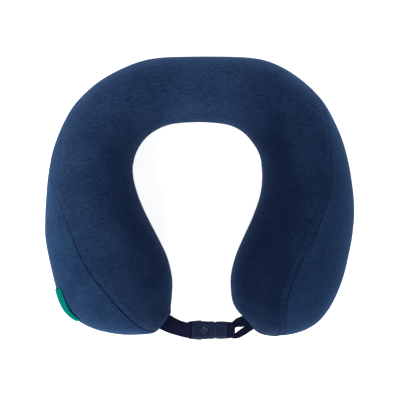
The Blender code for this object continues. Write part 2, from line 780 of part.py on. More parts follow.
def along_y(name, outline, y0, y1, shader=None, collection=None):
    """A slab whose outline is in x and z, raised along y."""
    made = slab(name, outline, y0, y1, shader, collection)
    for vertex in made.data.vertices:
        x, z, y = vertex.co
        vertex.co = (x, y, z)
    face_outward(made)
    return made


def elastic_loop(shader):
    """A sleeve round the plug's bar, with two strands that run side by side into the right tip."""
    low, high = BAR_HALF_T + 0.3, BAR_HALF_T + 0.3 + ELASTIC_T
    x0, x1 = LOOP_SLOT_X[1] - 0.3, PLUG_X[1] + 0.3
    chamfer = 0.7
    outer = [
        (x0 - ELASTIC_T, chamfer - high), (x0 - ELASTIC_T + chamfer, -high),
        (x1 + ELASTIC_T - chamfer, -high), (x1 + ELASTIC_T, chamfer - high),
        (x1 + ELASTIC_T, high - chamfer), (x1 + ELASTIC_T - chamfer, high),
        (x0 - ELASTIC_T + chamfer, high), (x0 - ELASTIC_T, high - chamfer),
    ]
    outer = moved(outer, 0, BUCKLE_Z)
    sleeve = along_y(
        "elastic_loop", outer, BUCKLE_Y - SLEEVE_HALF, BUCKLE_Y + SLEEVE_HALF, shader,
    )
    bore = moved(rectangle(x0, x1, -low, low), 0, BUCKLE_Z)
    hole = along_y("elastic_bore", bore, BUCKLE_Y - 9, BUCKLE_Y + 9, None, CUTTERS)
    start = x1 + ELASTIC_T / 2
    upper = (
        ((start, -124.1), 14), ((37.0, -121.9), 24), ((40.5, -120.0), 30), ((46.2, -117.3), 33),
        ((48.6, -115.8), 35),
    )
    lower = (
        ((start, -131.6), 4), ((37.2, -131.0), 16), ((41.5, -129.0), 27), ((51.0, -123.4), 34),
        ((54.4, -121.0), 36),
    )
    strands = []
    for side, path in (("upper", upper), ("lower", lower)):
        stations = [((x, y, BUCKLE_Z), heading(turn)) for (x, y), turn in path]
        strands.append(ribbon("elastic_" + side, stations, ELASTIC_W, ELASTIC_T, None, CUTTERS))
    for strand in strands:
        hide(strand)
        boolean(sleeve, strand, "UNION")
    hide(hole)
    boolean(sleeve, hole)
    return sleeve


clear_scene()
PILLOW = new_collection("u_shaped_neck_pillow")
CUTTERS = new_collection("cutters", hidden=True)

VELOUR = {
    name: material("velour_" + name, (0.016, 0.026, 0.075), 0.95, sheen=0.6)
    for name in ("top", "side_left", "side_right", "base")
}
FOAM = material("memory_foam", (0.78, 0.74, 0.62), 0.95)
KNIT = material("liner_knit", (0.020, 0.023, 0.035), 0.95)
TAPE_UPPER = material("zip_tape_woven", (0.012, 0.018, 0.045), 0.9)
COIL = material("zip_coil_nylon", (0.010, 0.014, 0.035), 0.45)
ZIP_METAL = material("zip_dark_metal", (0.10, 0.10, 0.11), 0.35, metallic=1.0)
TEAL = material("label_woven_green", (0.005, 0.24, 0.24), 0.8)
WEBBING = material("webbing_navy", (0.007, 0.010, 0.026), 0.85)
ELASTIC = material("elastic_navy", (0.008, 0.011, 0.028), 0.85)
SOCKET = material("buckle_socket_acetal", (0.013, 0.019, 0.040), 0.42)
PLUG = material("buckle_plug_acetal", (0.013, 0.019, 0.040), 0.42)
LATCH = material("buckle_latch_acetal", (0.013, 0.019, 0.040), 0.42)

foam(FOAM)
liner(KNIT)
cover_top(VELOUR["top"])
cover_side("left", VELOUR["side_left"])
cover_side("right", VELOUR["side_right"])
cover_base(VELOUR["base"])
label(TEAL)
zip_parts(TAPE_UPPER, COIL, ZIP_METAL)
buckle_socket(SOCKET)
buckle_plug(PLUG)
latch_arm("rear", LATCH)
latch_arm("front", LATCH)
strap_webbing(WEBBING)
elastic_loop(ELASTIC)
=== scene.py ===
"""Looks for the U-shaped neck pillow: velour cover, zip, label, straps and buckle round the CAD frame."""

import math

import bmesh
import bpy
import numpy as np
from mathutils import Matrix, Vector, noise


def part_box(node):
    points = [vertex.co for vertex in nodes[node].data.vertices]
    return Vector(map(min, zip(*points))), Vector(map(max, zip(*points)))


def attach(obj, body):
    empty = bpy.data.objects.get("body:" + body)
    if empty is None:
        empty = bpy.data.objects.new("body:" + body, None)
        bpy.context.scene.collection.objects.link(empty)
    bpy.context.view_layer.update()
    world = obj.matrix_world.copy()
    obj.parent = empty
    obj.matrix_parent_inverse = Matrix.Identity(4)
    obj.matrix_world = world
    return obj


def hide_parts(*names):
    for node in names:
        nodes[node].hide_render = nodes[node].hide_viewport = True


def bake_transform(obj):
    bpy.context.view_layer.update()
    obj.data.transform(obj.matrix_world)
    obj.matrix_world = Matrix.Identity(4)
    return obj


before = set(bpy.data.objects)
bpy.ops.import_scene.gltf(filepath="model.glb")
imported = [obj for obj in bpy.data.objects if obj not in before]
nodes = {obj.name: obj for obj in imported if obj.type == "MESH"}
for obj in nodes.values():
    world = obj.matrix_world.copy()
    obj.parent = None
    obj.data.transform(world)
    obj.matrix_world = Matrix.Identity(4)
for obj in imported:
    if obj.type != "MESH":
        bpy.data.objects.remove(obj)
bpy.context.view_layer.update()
scene = bpy.context.scene
MM = 0.001


# ---- The cover's surface ----
# Rings stand along the U: ring 0 at the centre of the back, 22 and -22 at the slots in the arm tips.
# Place s runs round a ring: 0 inner foot, 1 outer foot, 2 to 3 the upright foot of the outer wall,
# 4 the widest point outside, 5 the top, 6 the widest point inside, 7 = 0.

END = 22
BACK_RINGS = 9
BACK_STEP_DEG = 7.5
WALL_R = 133

BACK_OUTER_R = {
    "left": (138.2, 139.2, 142.2, 145, 146.3, 148.4, 150.2, 150.8, 150.2),
    "right": (138.2, 139.2, 142.2, 147, 150.1, 151.2, 151.9, 151.6, 150.2),
}
BACK_INNER_R = {
    "left": (75.7, 76.2, 77.4, 79, 79.8, 79.9, 79.1, 77.2, 74.2),
    "right": (75.7, 76, 76.8, 77.8, 78.2, 77.4, 75.7, 73.4, 69.8),
}
OUTER_EDGE = {
    "left": (
        (141.4, 45.6), (146.3, 16.5), (148.3, -12.6), (148.2, -36), (145, -56), (140.3, -76.6),
        (135, -95.4), (125.6, -111.2), (110.6, -122.3), (92, -129), (72, -132),
        (54, -131.5), (44.5, -130.1), (39.8, -127.2),
    ),
    "right": (
        (141.2, 45.6), (147.1, 16.5), (149, -10), (146.8, -36), (143.2, -56), (138.3, -76.6),
        (130.3, -96.9), (118.9, -114.7), (105.2, -125.5), (91, -131), (77, -132.7),
        (65.5, -131.9), (58, -129.9), (54.4, -127.8),
    ),
}
INNER_EDGE = {
    "left": (
        (65.2, 30), (62.5, 10), (54, -12.8), (44.8, -30), (35.9, -47), (30, -61),
        (26.8, -77), (26.9, -89), (27.6, -97.5), (28.2, -102.5), (28.4, -106),
        (28.3, -109), (28.4, -111), (29, -112.1),
    ),
    "right": (
        (61.2, 30), (60.9, 10), (54.5, -12.8), (46.9, -30), (39.2, -46.5), (33.8, -61),
        (30.6, -76), (30.7, -89), (31.4, -95.5), (32.8, -101.5), (35.2, -106),
        (38, -110), (40.8, -112.8), (42.8, -114),
    ),
}
TOP_Z = (
    88, 88.5, 90, 92, 94.5, 97, 99.5, 102, 104, 107, 110, 112,
    112, 111, 109, 105.5, 100, 92, 83, 73, 62, 51, 40.2,
)
BASE_Z = (0,) * 18 + (2, 7, 15.5, 26, 35.8)
TOP_POWER = (2.3,) * 22 + (3.5,)
WALL_INSET = (15.5, 12.5, 9.5, 8, 7.5, 7, 6.5, 6, 5.5, 5, 4, 3, 2, 0.3)
WALL_FOOT = (10,) * 9 + (11.5, 14, 17, 18.5, 19, 19, 18, 16, 13.5, 11, 8, 5, 2.5, 0.8)
INNER_FOOT = (16,) * 9 + (17, 18, 18, 18, 17, 16, 15, 14, 12, 9, 7, 5, 3, 0.8)
ZIP_BAND = (10.8, 29.2)
ARM_BAND = (0.105, 0.282)
MID_ARM_BAND = (0.18, 0.32)
SLOT_BAND = (0.30, 0.60)
WIDEST = 0.46
SLOT_WIDEST = 0.70
INNER_SEAM = 6.75
ZIP_END_DEG = 60
ZIP_HEM_R = 1

# Where the seam between top and side panel crosses the rings: (distance from the back, place).
SEAM_KNOTS = {
    "left": (
        (0, 3.72), (6, 3.74), (8.2, 3.84), (9.2, 4.05), (9.8, 4.34), (10.3, 4.53), (11.2, 4.69),
        (12.2, 4.76), (12.9, 4.77), (13.7, 4.80), (14.7, 4.92), (15.8, 5), (17.2, 5.01),
        (18.4, 4.95), (19.4, 4.81), (20.6, 4.55), (22, 4.20),
    ),
    "right": (
        (0, 3.72), (3, 3.76), (5.4, 3.95), (6.8, 4.24), (7.8, 4.48), (8.7, 4.62), (9.6, 4.70),
        (10.1, 4.73), (10.6, 4.79), (11.1, 4.84), (11.8, 4.88), (12.7, 4.92), (13.7, 4.96), (14.7, 4.98),
        (15.6, 4.97), (16.8, 4.88), (17.7, 4.72), (18.4, 4.45), (19, 4.10), (19.7, 3.85), (22, 3.80),
    ),
}
SEAM_SMOOTH = 4
SEAM_R = 1.5
SOFT_SEAM_R = 0.7
SOFT_SEAM_TO = 10.5
SOFT_SEAM_FADE = 3.5
RIDGE_AT = 6.2
LAYER_END = 20.6


def natural_spline(values):
    """A smooth curve through evenly spaced rows of values: a function of the row number."""
    values = np.asarray(values, float)
    count = len(values)
    system = np.eye(count)
    bend = np.zeros_like(values)
    for i in range(1, count - 1):
        system[i, i - 1 : i + 2] = (1, 4, 1)
        bend[i] = 6 * (values[i + 1] - 2 * values[i] + values[i - 1])
    bend = np.linalg.solve(system, bend)

    def at(position):
        position = np.clip(np.asarray(position, float), 0, count - 1)
        low = np.minimum(position.astype(int), count - 2)
        part = (position - low)[..., None]
        a, b = values[low], values[low + 1]
        ma, mb = bend[low], bend[low + 1]
        rest = 1 - part
        return (
            rest * a + part * b
            + (rest**3 - rest) * ma / 6 + (part**3 - part) * mb / 6
        )

    return at


def ring_values(ring):
    k = abs(ring)
    side = "left" if ring < 0 else "right"
    if k < BACK_RINGS:
        turn = math.radians(k * BACK_STEP_DEG)
        way = np.array((math.sin(turn), math.cos(turn)))
        outer, inner = way * BACK_OUTER_R[side][k], way * BACK_INNER_R[side][k]
    else:
        outer = np.array(OUTER_EDGE[side][k - BACK_RINGS])
        inner = np.array(INNER_EDGE[side][k - BACK_RINGS])
    centre = (outer + inner) / 2
    half = float(np.linalg.norm(outer - inner)) / 2
    way = (outer - inner) / (2 * half)
    turn = math.atan2(way[0], way[1])
    base, top = BASE_Z[k], TOP_Z[k]
    if k < BACK_RINGS:
        wall = WALL_R - float(np.linalg.norm(centre))
        low, high = ZIP_BAND
        widest = base + WIDEST * (top - base)
    else:
        wall = half - WALL_INSET[k - BACK_RINGS]
        share = min(max((k - 17) / 5, 0.0), 1.0) ** 2
        lift = min((k - 8) / 5, 1.0)
        arm = [a + lift * (b - a) for a, b in zip(ARM_BAND, MID_ARM_BAND)]
        low, high = [base + (a + share * (b - a)) * (top - base) for a, b in zip(arm, SLOT_BAND)]
        widest = base + (WIDEST + share * (SLOT_WIDEST - WIDEST)) * (top - base)
    sign = -1 if ring < 0 else 1
    return (
        sign * centre[0], centre[1], sign * turn, half, base, top, wall, low, high, widest,
        TOP_POWER[k], wall - WALL_FOOT[k], INNER_FOOT[k] - half,
    )


RINGS = natural_spline([ring_values(ring) for ring in range(-END, END + 1)])


def surface(t, s):
    """Points in millimetres at ring t and place s, which are arrays of one shape."""
    t, s = np.broadcast_arrays(np.asarray(t, float), np.asarray(s, float))
    ring = RINGS(t + END)
    cx, cy, turn, half, base, top, wall, low, high, widest, power, foot, inner_foot = np.moveaxis(ring, -1, 0)
    s = np.mod(s, 7)
    part = np.minimum(s.astype(int), 6)
    f = s - part
    cos = np.clip(np.cos(f * math.pi / 2), 0, 1)
    sin = np.clip(np.sin(f * math.pi / 2), 0, 1)
    bulge = 2 / power
    inner_bulge = 2 / 2.3
    ease = f * f * (4.5 - 5 * f + 1.5 * f * f)
    out = np.choose(part, [
        inner_foot + f * (foot - inner_foot),
        foot + sin * (wall - foot),
        wall,
        wall + ease * (half - wall),
        cos**bulge * half,
        -(sin**bulge) * half,
        inner_foot - cos**inner_bulge * (half + inner_foot),
    ])
    height = np.choose(part, [
        base,
        low - cos * (low - base),
        low + f * (high - low),
        high + f * (widest - high),
        widest + sin**bulge * (top - widest),
        widest + cos**bulge * (top - widest),
        widest - sin**inner_bulge * (widest - base),
    ])
    return np.stack((cx + out * np.sin(turn), cy + out * np.cos(turn), height), -1)


def outward(t, s):
    t, s = np.broadcast_arrays(np.asarray(t, float), np.asarray(s, float))
    along = surface(np.minimum(t + 0.04, END), s) - surface(np.maximum(t - 0.04, -END), s)
    across = surface(t, s + 0.012) - surface(t, s - 0.012)
    found = np.cross(across, along)
    return found / np.maximum(np.linalg.norm(found, axis=-1, keepdims=True), 1e-9)


def ring_numbers(step):
    """Ring numbers about this far apart along the outer edge."""
    found = [-float(END)]
    for ring in range(-END, END):
        ends = surface(np.array([ring, ring + 1.0]), np.array([4.0, 4.0]))
        count = max(2, int(round(np.linalg.norm(ends[1] - ends[0]) / step)))
        found += [ring + (i + 1) / count for i in range(count)]
    return np.array(found)


def smoothed(values, reach):
    window = np.exp(-0.5 * (np.arange(-3 * reach, 3 * reach + 1) / reach) ** 2)
    padded = np.concatenate((np.full(3 * reach, values[0]), values, np.full(3 * reach, values[-1])))
    return np.convolve(padded, window / window.sum(), "valid")


def seam_places(t):
    """Where the seam between top and side panel crosses each ring."""
    found = np.zeros(len(t))
    for side, chosen in (("left", t < 0), ("right", t >= 0)):
        knots = np.array(SEAM_KNOTS[side])
        found[chosen] = np.interp(np.abs(t[chosen]), knots[:, 0], knots[:, 1])
    return smoothed(found, max(1, int(round(SEAM_SMOOTH * len(t) / 300))))


def lumps(points, size, seed):
    """Smooth noise from -1 to 1 at each point, whose lumps are about this many millimetres across."""
    shift = Vector((seed * 7.3, seed * 3.1, seed * 5.7))
    found = [noise.noise(Vector(point) / size + shift) for point in points.reshape(-1, 3)]
    return np.array(found).reshape(points.shape[:-1])


def spaced_places(t, s0, s1, count, edge):
    """Places across a panel: close together near both edges, and even between. Also each place's
    distance from the first and from the last edge, in millimetres."""
    fine = np.linspace(0, 1, 97)
    s = s0[:, None] + (s1 - s0)[:, None] * fine[None, :]
    points = surface(t[:, None], s)
    places = np.zeros((len(t), count + 2 * len(edge)))
    first, last = np.zeros_like(places), np.zeros_like(places)
    for i in range(len(t)):
        run = run_along(points[i])
        total = run[-1]
        near = np.array(edge) * min(1.0, 0.42 * total / edge[-1])
        middle = np.linspace(near[-1], total - near[-1], count + 2)[1:-1]
        first[i] = np.concatenate((near, middle, (total - near)[::-1]))
        last[i] = total - first[i]
        places[i] = np.interp(first[i], run, s[i])
    return places, first, last


def rolled(distance, radius):
    """How deep a seam pulls the cloth in at this distance from it."""
    inside = np.clip(radius - distance, 0, radius)
    return radius - np.sqrt(np.maximum(radius * radius - inside * inside, 0))


def eased(share):
    """0 below 0, 1 above 1 and a smooth change between."""
    share = np.clip(share, 0, 1)
    return share * share * (3 - 2 * share)


def run_along(points):
    """How far along a line of points each of them lies."""
    return np.concatenate(([0], np.cumsum(np.linalg.norm(np.diff(points, axis=0), axis=1))))


def linked(name, data):
    """A new object of the scene."""
    made = bpy.data.objects.new(name, data)
    scene.collection.objects.link(made)
    return made


def finish_piece(thing, body, slot, *replaced):
    """Says which body a piece rides on, what it is made of and which CAD nodes it stands for."""
    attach(thing, body)
    thing.data.materials.clear()
    thing.data.materials.append(MATERIALS[slot])
    if replaced:
        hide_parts(*replaced)
    return thing


def mesh_from(name, points, faces, uv=()):
    """A smooth mesh from points in millimetres, with a UV map in metres where one is given."""
    mesh = bpy.data.meshes.new(name)
    mesh.from_pydata((np.asarray(points) * MM).tolist(), [], faces)
    if uv:
        layer = mesh.uv_layers.new(name="cloth")
        index = np.zeros(len(mesh.loops), int)
        mesh.loops.foreach_get("vertex_index", index)
        layer.data.foreach_set("uv", (np.asarray(uv)[index] * MM).ravel())
    mesh.update()
    mesh.polygons.foreach_set("use_smooth", [True] * len(mesh.polygons))
    return mesh


def closed_mesh(name, points, faces, uv=(), sharp_deg=None):
    """A closed mesh whose faces all point out."""
    mesh = mesh_from(name, points, faces, uv)
    work = bmesh.new()
    work.from_mesh(mesh)
    bmesh.ops.recalc_face_normals(work, faces=work.faces)
    work.to_mesh(mesh)
    work.free()
    if sharp_deg:
        mesh.set_sharp_from_angle(angle=math.radians(sharp_deg))
    return mesh


def solid_piece(name, skin, slot, *replaced, sharp_deg=None):
    """A piece of the pillow from a skin: its points, faces and UVs."""
    return finish_piece(linked(name, closed_mesh(name, *skin, sharp_deg)), "pillow", slot, *replaced)


def joined(skins):
    """Several skins as one."""
    points, faces, uv = [], [], []
    for more_points, more_faces, more_uv in skins:
        shift = len(points)
        points += list(more_points)
        faces += [tuple(i + shift for i in face) for face in more_faces]
        uv += list(more_uv)
    return points, faces, uv


def grid_faces(rows, columns, tube=False):
    """Faces of a grid of points: a sheet, or a tube whose rows are rings."""
    faces = []
    for first in range(0, (rows - 1) * columns, columns):
        for j in range(columns if tube else columns - 1):
            a, b = first + j, first + (j + 1) % columns
            faces.append((a, b, b + columns, a + columns))
    return faces


def rod_faces(rows, columns):
    """Faces of a tube with both ends filled."""
    last = (rows - 1) * columns
    ends = [tuple(range(columns))[::-1], tuple(range(last, last + columns))]
    return grid_faces(rows, columns, True) + ends


def rim_of(rows, columns):
    """The numbers of the points round a grid's edge."""
    rim = list(range(columns)) + [i * columns + columns - 1 for i in range(1, rows)]
    rim += [rows * columns - 1 - j for j in range(1, columns)]
    return rim + [i * columns for i in range(rows - 2, 0, -1)]


def double_faces(rows, columns, tube=False):
    """Faces of two skins of one grid, back to back, and of the rims that join them."""
    skin = grid_faces(rows, columns, tube)
    shift = rows * columns
    ends = [list(range(columns)), list(range(shift - columns, shift))[::-1]]
    rims = ends if tube else [rim_of(rows, columns)]
    faces = skin + [tuple(i + shift for i in face)[::-1] for face in skin]
    for rim in rims:
        faces += [(b, a, a + shift, b + shift) for a, b in zip(rim, rim[1:] + rim[:1])]
    return faces


STEP = 3.0
T = ring_numbers(STEP)
SEAM = seam_places(T)
EDGE = (0.0, 0.35, 0.8, 1.35, 2.0, 2.9, 4.0, 5.4, 7.2)
ZIP_FADE_DEG = (0.8, 2.2)


def zip_share(t):
    """1 along the zip, 0 on the arms, and a short change between."""
    return 1 - eased((np.abs(t) * BACK_STEP_DEG - ZIP_END_DEG + ZIP_FADE_DEG[0]) / ZIP_FADE_DEG[1])


# ---- The swell ----
# The stuffed cover swells between its seams. A coarse skin is blown up as cloth, held at the seams,
# the zip, the base and the slots, and the fine panels take over how far each place moved.

SWELL_STEP = 6.0
SWELL_START = 1.6
SWELL_SHARE = 0.4
SWELL_LEAST = -0.2
SWELL_CAP = 1.7
SWELL_FRAMES = 20
HELD_COLUMNS = [0, 14, 15, 16, 27]
HELD_BELOW = 0.6
LEAST_BAND = 0.1
CLOTH_SETTINGS = (
    ("quality", 6), ("mass", 0.15), ("tension_stiffness", 5), ("compression_stiffness", 5),
    ("shear_stiffness", 5), ("bending_stiffness", 0.4), ("use_pressure", True),
    ("uniform_pressure_force", 20.0), ("vertex_group_mass", "held"),
)


def coarse_places(t):
    """Places round each ring for the cloth, which always has a column on each seam."""
    rows = []
    for seam, share in zip(seam_places(t), zip_share(t)):
        band = max(0.5 * share, LEAST_BAND)
        low, high = 2.5 - band, 2.5 + band
        rows.append(np.concatenate((
            np.linspace(INNER_SEAM - 7, low, 15)[:-1], np.linspace(low, high, 3)[:-1],
            np.linspace(high, seam, 12)[:-1], np.linspace(seam, INNER_SEAM, 29)[:-1],
        )))
    return np.array(rows)


def swell_field():
    """Ring numbers, places and outward moves in millimetres of the blown-up cloth."""
    t = ring_numbers(SWELL_STEP)
    s = coarse_places(t)
    rest, normal = surface(t[:, None], s), outward(t[:, None], s)
    start = rest - SWELL_START * normal
    skin = linked("swell", mesh_from("swell", start.reshape(-1, 3), grid_faces(*s.shape, True)))
    held = rest[..., 2] < HELD_BELOW
    held[:2] = held[-2:] = held[:, HELD_COLUMNS] = True
    skin.vertex_groups.new(name="held").add(np.flatnonzero(held).tolist(), 1.0, "REPLACE")
    cloth = skin.modifiers.new("cloth", "CLOTH")
    for name, value in CLOTH_SETTINGS:
        setattr(cloth.settings, name, value)
    cloth.settings.effector_weights.gravity = 0.0
    cloth.collision_settings.use_collision = False
    cloth.point_cache.frame_start = 1
    cloth.point_cache.frame_end = SWELL_FRAMES
    for step in range(1, SWELL_FRAMES + 1):
        scene.frame_set(step)
    blown = skin.evaluated_get(bpy.context.evaluated_depsgraph_get()).to_mesh()
    moved = np.zeros(rest.size)
    blown.vertices.foreach_get("co", moved)
    moved = moved.reshape(rest.shape) / MM
    bpy.data.objects.remove(skin, do_unlink=True)
    scene.frame_set(1)
    out = np.clip(SWELL_SHARE * ((moved - start) * normal).sum(-1), SWELL_LEAST, SWELL_CAP)
    # Smoothed a little round each ring, then more from ring to ring.
    for reach in (1, 3):
        out = np.array([smoothed(row, reach) for row in out]).T
    return t, s, out


def swell_at(field, t, s):
    """The cloth's outward move at rows of ring numbers and places."""
    rings, places, out = field
    found = np.zeros(s.shape)
    low = np.clip(np.searchsorted(rings, t) - 1, 0, len(rings) - 2)
    part = np.clip((t - rings[low]) / (rings[low + 1] - rings[low]), 0, 1)
    for i, (k, f) in enumerate(zip(low, part)):
        at, move = [(1 - f) * grid[k] + f * grid[k + 1] for grid in (places, out)]
        found[i] = np.interp(s[i], np.append(at, at[0] + 7), np.append(move, move[0]))
    return found


# ---- The cover's panels, the liner and the foam ----

CLOTH_T = 1.0
HEM_STEPS = (0.8, 2.6)
FREE_REACH = 9.0
LYING_REACH = 6.0
LOWEST = 0.05
RIDGE_HALF_W = 1.6
PUCKER = (9.0, 0.38)  # The size and depth of the small gathers beside a seam
BROAD = (46.0, 4, 0.8)  # The size, seed and depth of the stuffing's lumps
MIDDLING = (17.0, 6, 0.22)


def cover_panel(name, slot, node, t, s0, s1, count, radius, seed, ridge=0.0, side_edge=False):
    """One sewn piece of the cover, its edges rolled into the seams and its ends into the slots."""
    s, first, last = spaced_places(t, s0, s1, count, EDGE)
    columns = s.shape[1]
    tt = np.repeat(t[:, None], columns, axis=1)
    points, normal = surface(tt, s), outward(tt, s)
    depth = np.maximum(rolled(first, radius[0]), rolled(last, radius[1]))
    nearest = np.minimum(first, last)
    if side_edge:
        across = np.where(points[..., 1] > 0, np.abs(points[..., 0]), 99.0)
        depth = np.maximum(depth, rolled(across, SEAM_R))
        nearest = np.minimum(nearest, across)
    # The seam allowance folded under the top panel lifts it a little beside the seam.
    side = np.where(tt > 0, 1.0, 0.5)
    lifted = np.exp(-(((first - RIDGE_AT) / RIDGE_HALF_W) ** 2))
    depth = depth - ridge * lifted * side * np.clip(np.abs(tt) - 8, 0, 1)
    free = 1 - np.exp(-((nearest / FREE_REACH) ** 2))
    lying = np.clip(points[..., 2] / LYING_REACH, 0, 1)
    depth = depth + PUCKER[1] * lumps(points, PUCKER[0], seed) * (1 - free)
    stuffed = BROAD[2] * lumps(points, *BROAD[:2]) + MIDDLING[2] * lumps(points, *MIDDLING[:2])
    depth = depth - (stuffed + swell_at(SWELL, t, s)) * free * lying
    points = points - depth[..., None] * normal
    points[..., 2] = np.maximum(points[..., 2], LOWEST)
    inner = points - CLOTH_T * normal
    rows, lining, walk = list(points), list(inner), list(run_along(points[:, columns // 2]))
    for end, tip in ((0, -END), (-1, END)):
        if abs(t[end] - tip) > 1e-6:
            continue
        for extra in HEM_STEPS:
            place = len(rows) if end else 0
            rows.insert(place, points[end] - extra * normal[end])
            lining.insert(place, inner[end] - extra * normal[end])
            walk.insert(place, walk[end] + (extra if end else -extra))
    uv = [(w, a) for w in walk for a in first[len(first) // 2]] * 2
    mesh = mesh_from(name, np.concatenate(rows + lining), double_faces(len(rows), columns), uv)
    finish_piece(linked(name, mesh), "pillow", slot, node)


def make_cover():
    every = np.ones(len(T))
    share = zip_share(T)
    low_edge, high_edge = 2.5 - 0.5 * share, 2.5 + 0.5 * share
    hem = (SEAM_R - (SEAM_R - ZIP_HEM_R) * share)[:, None]
    firm = np.clip((np.abs(T) - SOFT_SEAM_TO) / SOFT_SEAM_FADE, 0, 1)
    roll = (SOFT_SEAM_R + (SEAM_R - SOFT_SEAM_R) * firm)[:, None]
    cover_panel(
        "cover_top", "velour_top", "cover_top_panel", T, SEAM, INNER_SEAM * every, 56,
        (roll, SEAM_R), 1, ridge=0.85,
    )
    for side, chosen, seed in (("left", T <= 1e-9, 11), ("right", T >= -1e-9, 17)):
        cover_panel(
            "cover_side_" + side, "velour_side", "cover_side_panel_" + side, T[chosen],
            high_edge[chosen], SEAM[chosen], 22, (hem[chosen], roll[chosen]), seed, side_edge=True,
        )
    cover_panel(
        "cover_base", "velour_base", "cover_base_panel", T, (INNER_SEAM - 7) * every, low_edge, 30,
        (SEAM_R, hem), 23,
    )


def inner_layer(name, node, slot, depth, thickness=0.0):
    """The foam or its liner, under the cover: a closed body, or a sleeve where it has a thickness."""
    rings = np.linspace(-LAYER_END, LAYER_END, 121)
    parts = ((0, 2, 9), (2, 4, 11), (4, 7, 31))
    places = np.concatenate([np.linspace(*part)[:-1] for part in parts])
    tt, ss = np.meshgrid(rings, places, indexing="ij")
    normal = outward(tt, ss)
    outer = surface(tt, ss) - depth * normal
    points = outer.reshape(-1, 3)
    if thickness:
        points = np.concatenate((points, (outer - thickness * normal).reshape(-1, 3)))
        faces = double_faces(*tt.shape, True)
    else:
        faces = rod_faces(*tt.shape)
    solid_piece(name, (points, faces, ()), slot, node)


# ---- Materials ----

BUCKLE_Y = -127.7
BUCKLE_Z = 38.0
OVAL_AT = 4.2
RIGHT_ARM = (0.02, 0.075)


def set_inputs(tree, made, **inputs):
    """Puts a value into each named input of a node."""
    for name, value in inputs.items():
        put(tree, made.inputs[name.replace("_", " ")], value)


def put(tree, socket, value):
    """Links an input to what feeds it, or sets it to a number, a direction or a colour."""
    if isinstance(value, bpy.types.NodeSocket):
        tree.links.new(value, socket)
    elif isinstance(value, tuple) and len(socket.default_value) == 4:
        socket.default_value = (*value, 1.0)
    else:
        socket.default_value = value


def new_material(name, **inputs):
    made = bpy.data.materials.new(name)
    made.use_nodes = True
    tree = made.node_tree
    shader = tree.nodes["Principled BSDF"]
    set_inputs(tree, shader, **inputs)
    return made, tree, shader


def node(tree, kind, output, **inputs):
    made = tree.nodes.new("ShaderNode" + kind)
    set_inputs(tree, made, **inputs)
    return made.outputs[output]


def noise_node(tree, source, scale, detail=2.0, roughness=0.5, stretch=None):
    if stretch:
        source = node(tree, "Mapping", "Vector", Vector=source, Scale=stretch)
    return node(tree, "TexNoise", "Fac", Vector=source, Scale=scale, Detail=detail, Roughness=roughness)


def ramp(tree, value, low, high, a, b):
    """Colour a below low, colour b above high."""
    found = node(tree, "ValToRGB", "Color", Fac=value)
    for stop, position, colour in zip(found.node.color_ramp.elements, (low, high), (a, b)):
        stop.position = position
        stop.color = (*colour, 1.0)
    return found


def mix(tree, share, a, b, kind="MIX"):
    made = tree.nodes.new("ShaderNodeMix")
    made.data_type = "RGBA"
    made.blend_type = kind
    for number, value in ((0, share), (6, a), (7, b)):
        put(tree, made.inputs[number], value)
    return made.outputs[2]


def maths(tree, kind, *values):
    made = tree.nodes.new("ShaderNodeMath")
    made.operation = kind
    for socket, value in zip(made.inputs, values):
        put(tree, socket, value)
    return made.outputs[0]


def bump(tree, height, strength, distance, **below):
    return node(tree, "Bump", "Normal", Height=height, Strength=strength, Distance=distance, **below)


def coordinates(tree, kind="Object"):
    return tree.nodes.new("ShaderNodeTexCoord").outputs[kind]


def axes(tree, source):
    """The three numbers of a vector."""
    return tuple(node(tree, "SeparateXYZ", "X", Vector=source).node.outputs)


def by_place(tree, value, low, high, start=RIGHT_ARM[0], end=RIGHT_ARM[1]):
    """A number up to start that turns smoothly into another at end: from the left arm and the back to
    the right arm, where nothing else is said."""
    ends = {"From_Min": start, "From_Max": end, "To_Min": low, "To_Max": high}
    found = node(tree, "MapRange", "Result", Value=value, **ends)
    found.node.interpolation_type = "SMOOTHSTEP"
    return found


def near_spot(tree, spot, x, y, amount, start, end):
    """An amount round an upright line at x and y, which fades to nothing from start to end."""
    away = [maths(tree, "SUBTRACT", value, middle) for value, middle in zip(axes(tree, spot), (x, y))]
    square = maths(tree, "ADD", *[maths(tree, "MULTIPLY", one, one) for one in away])
    return by_place(tree, maths(tree, "SQRT", square), amount, 0.0, start, end)


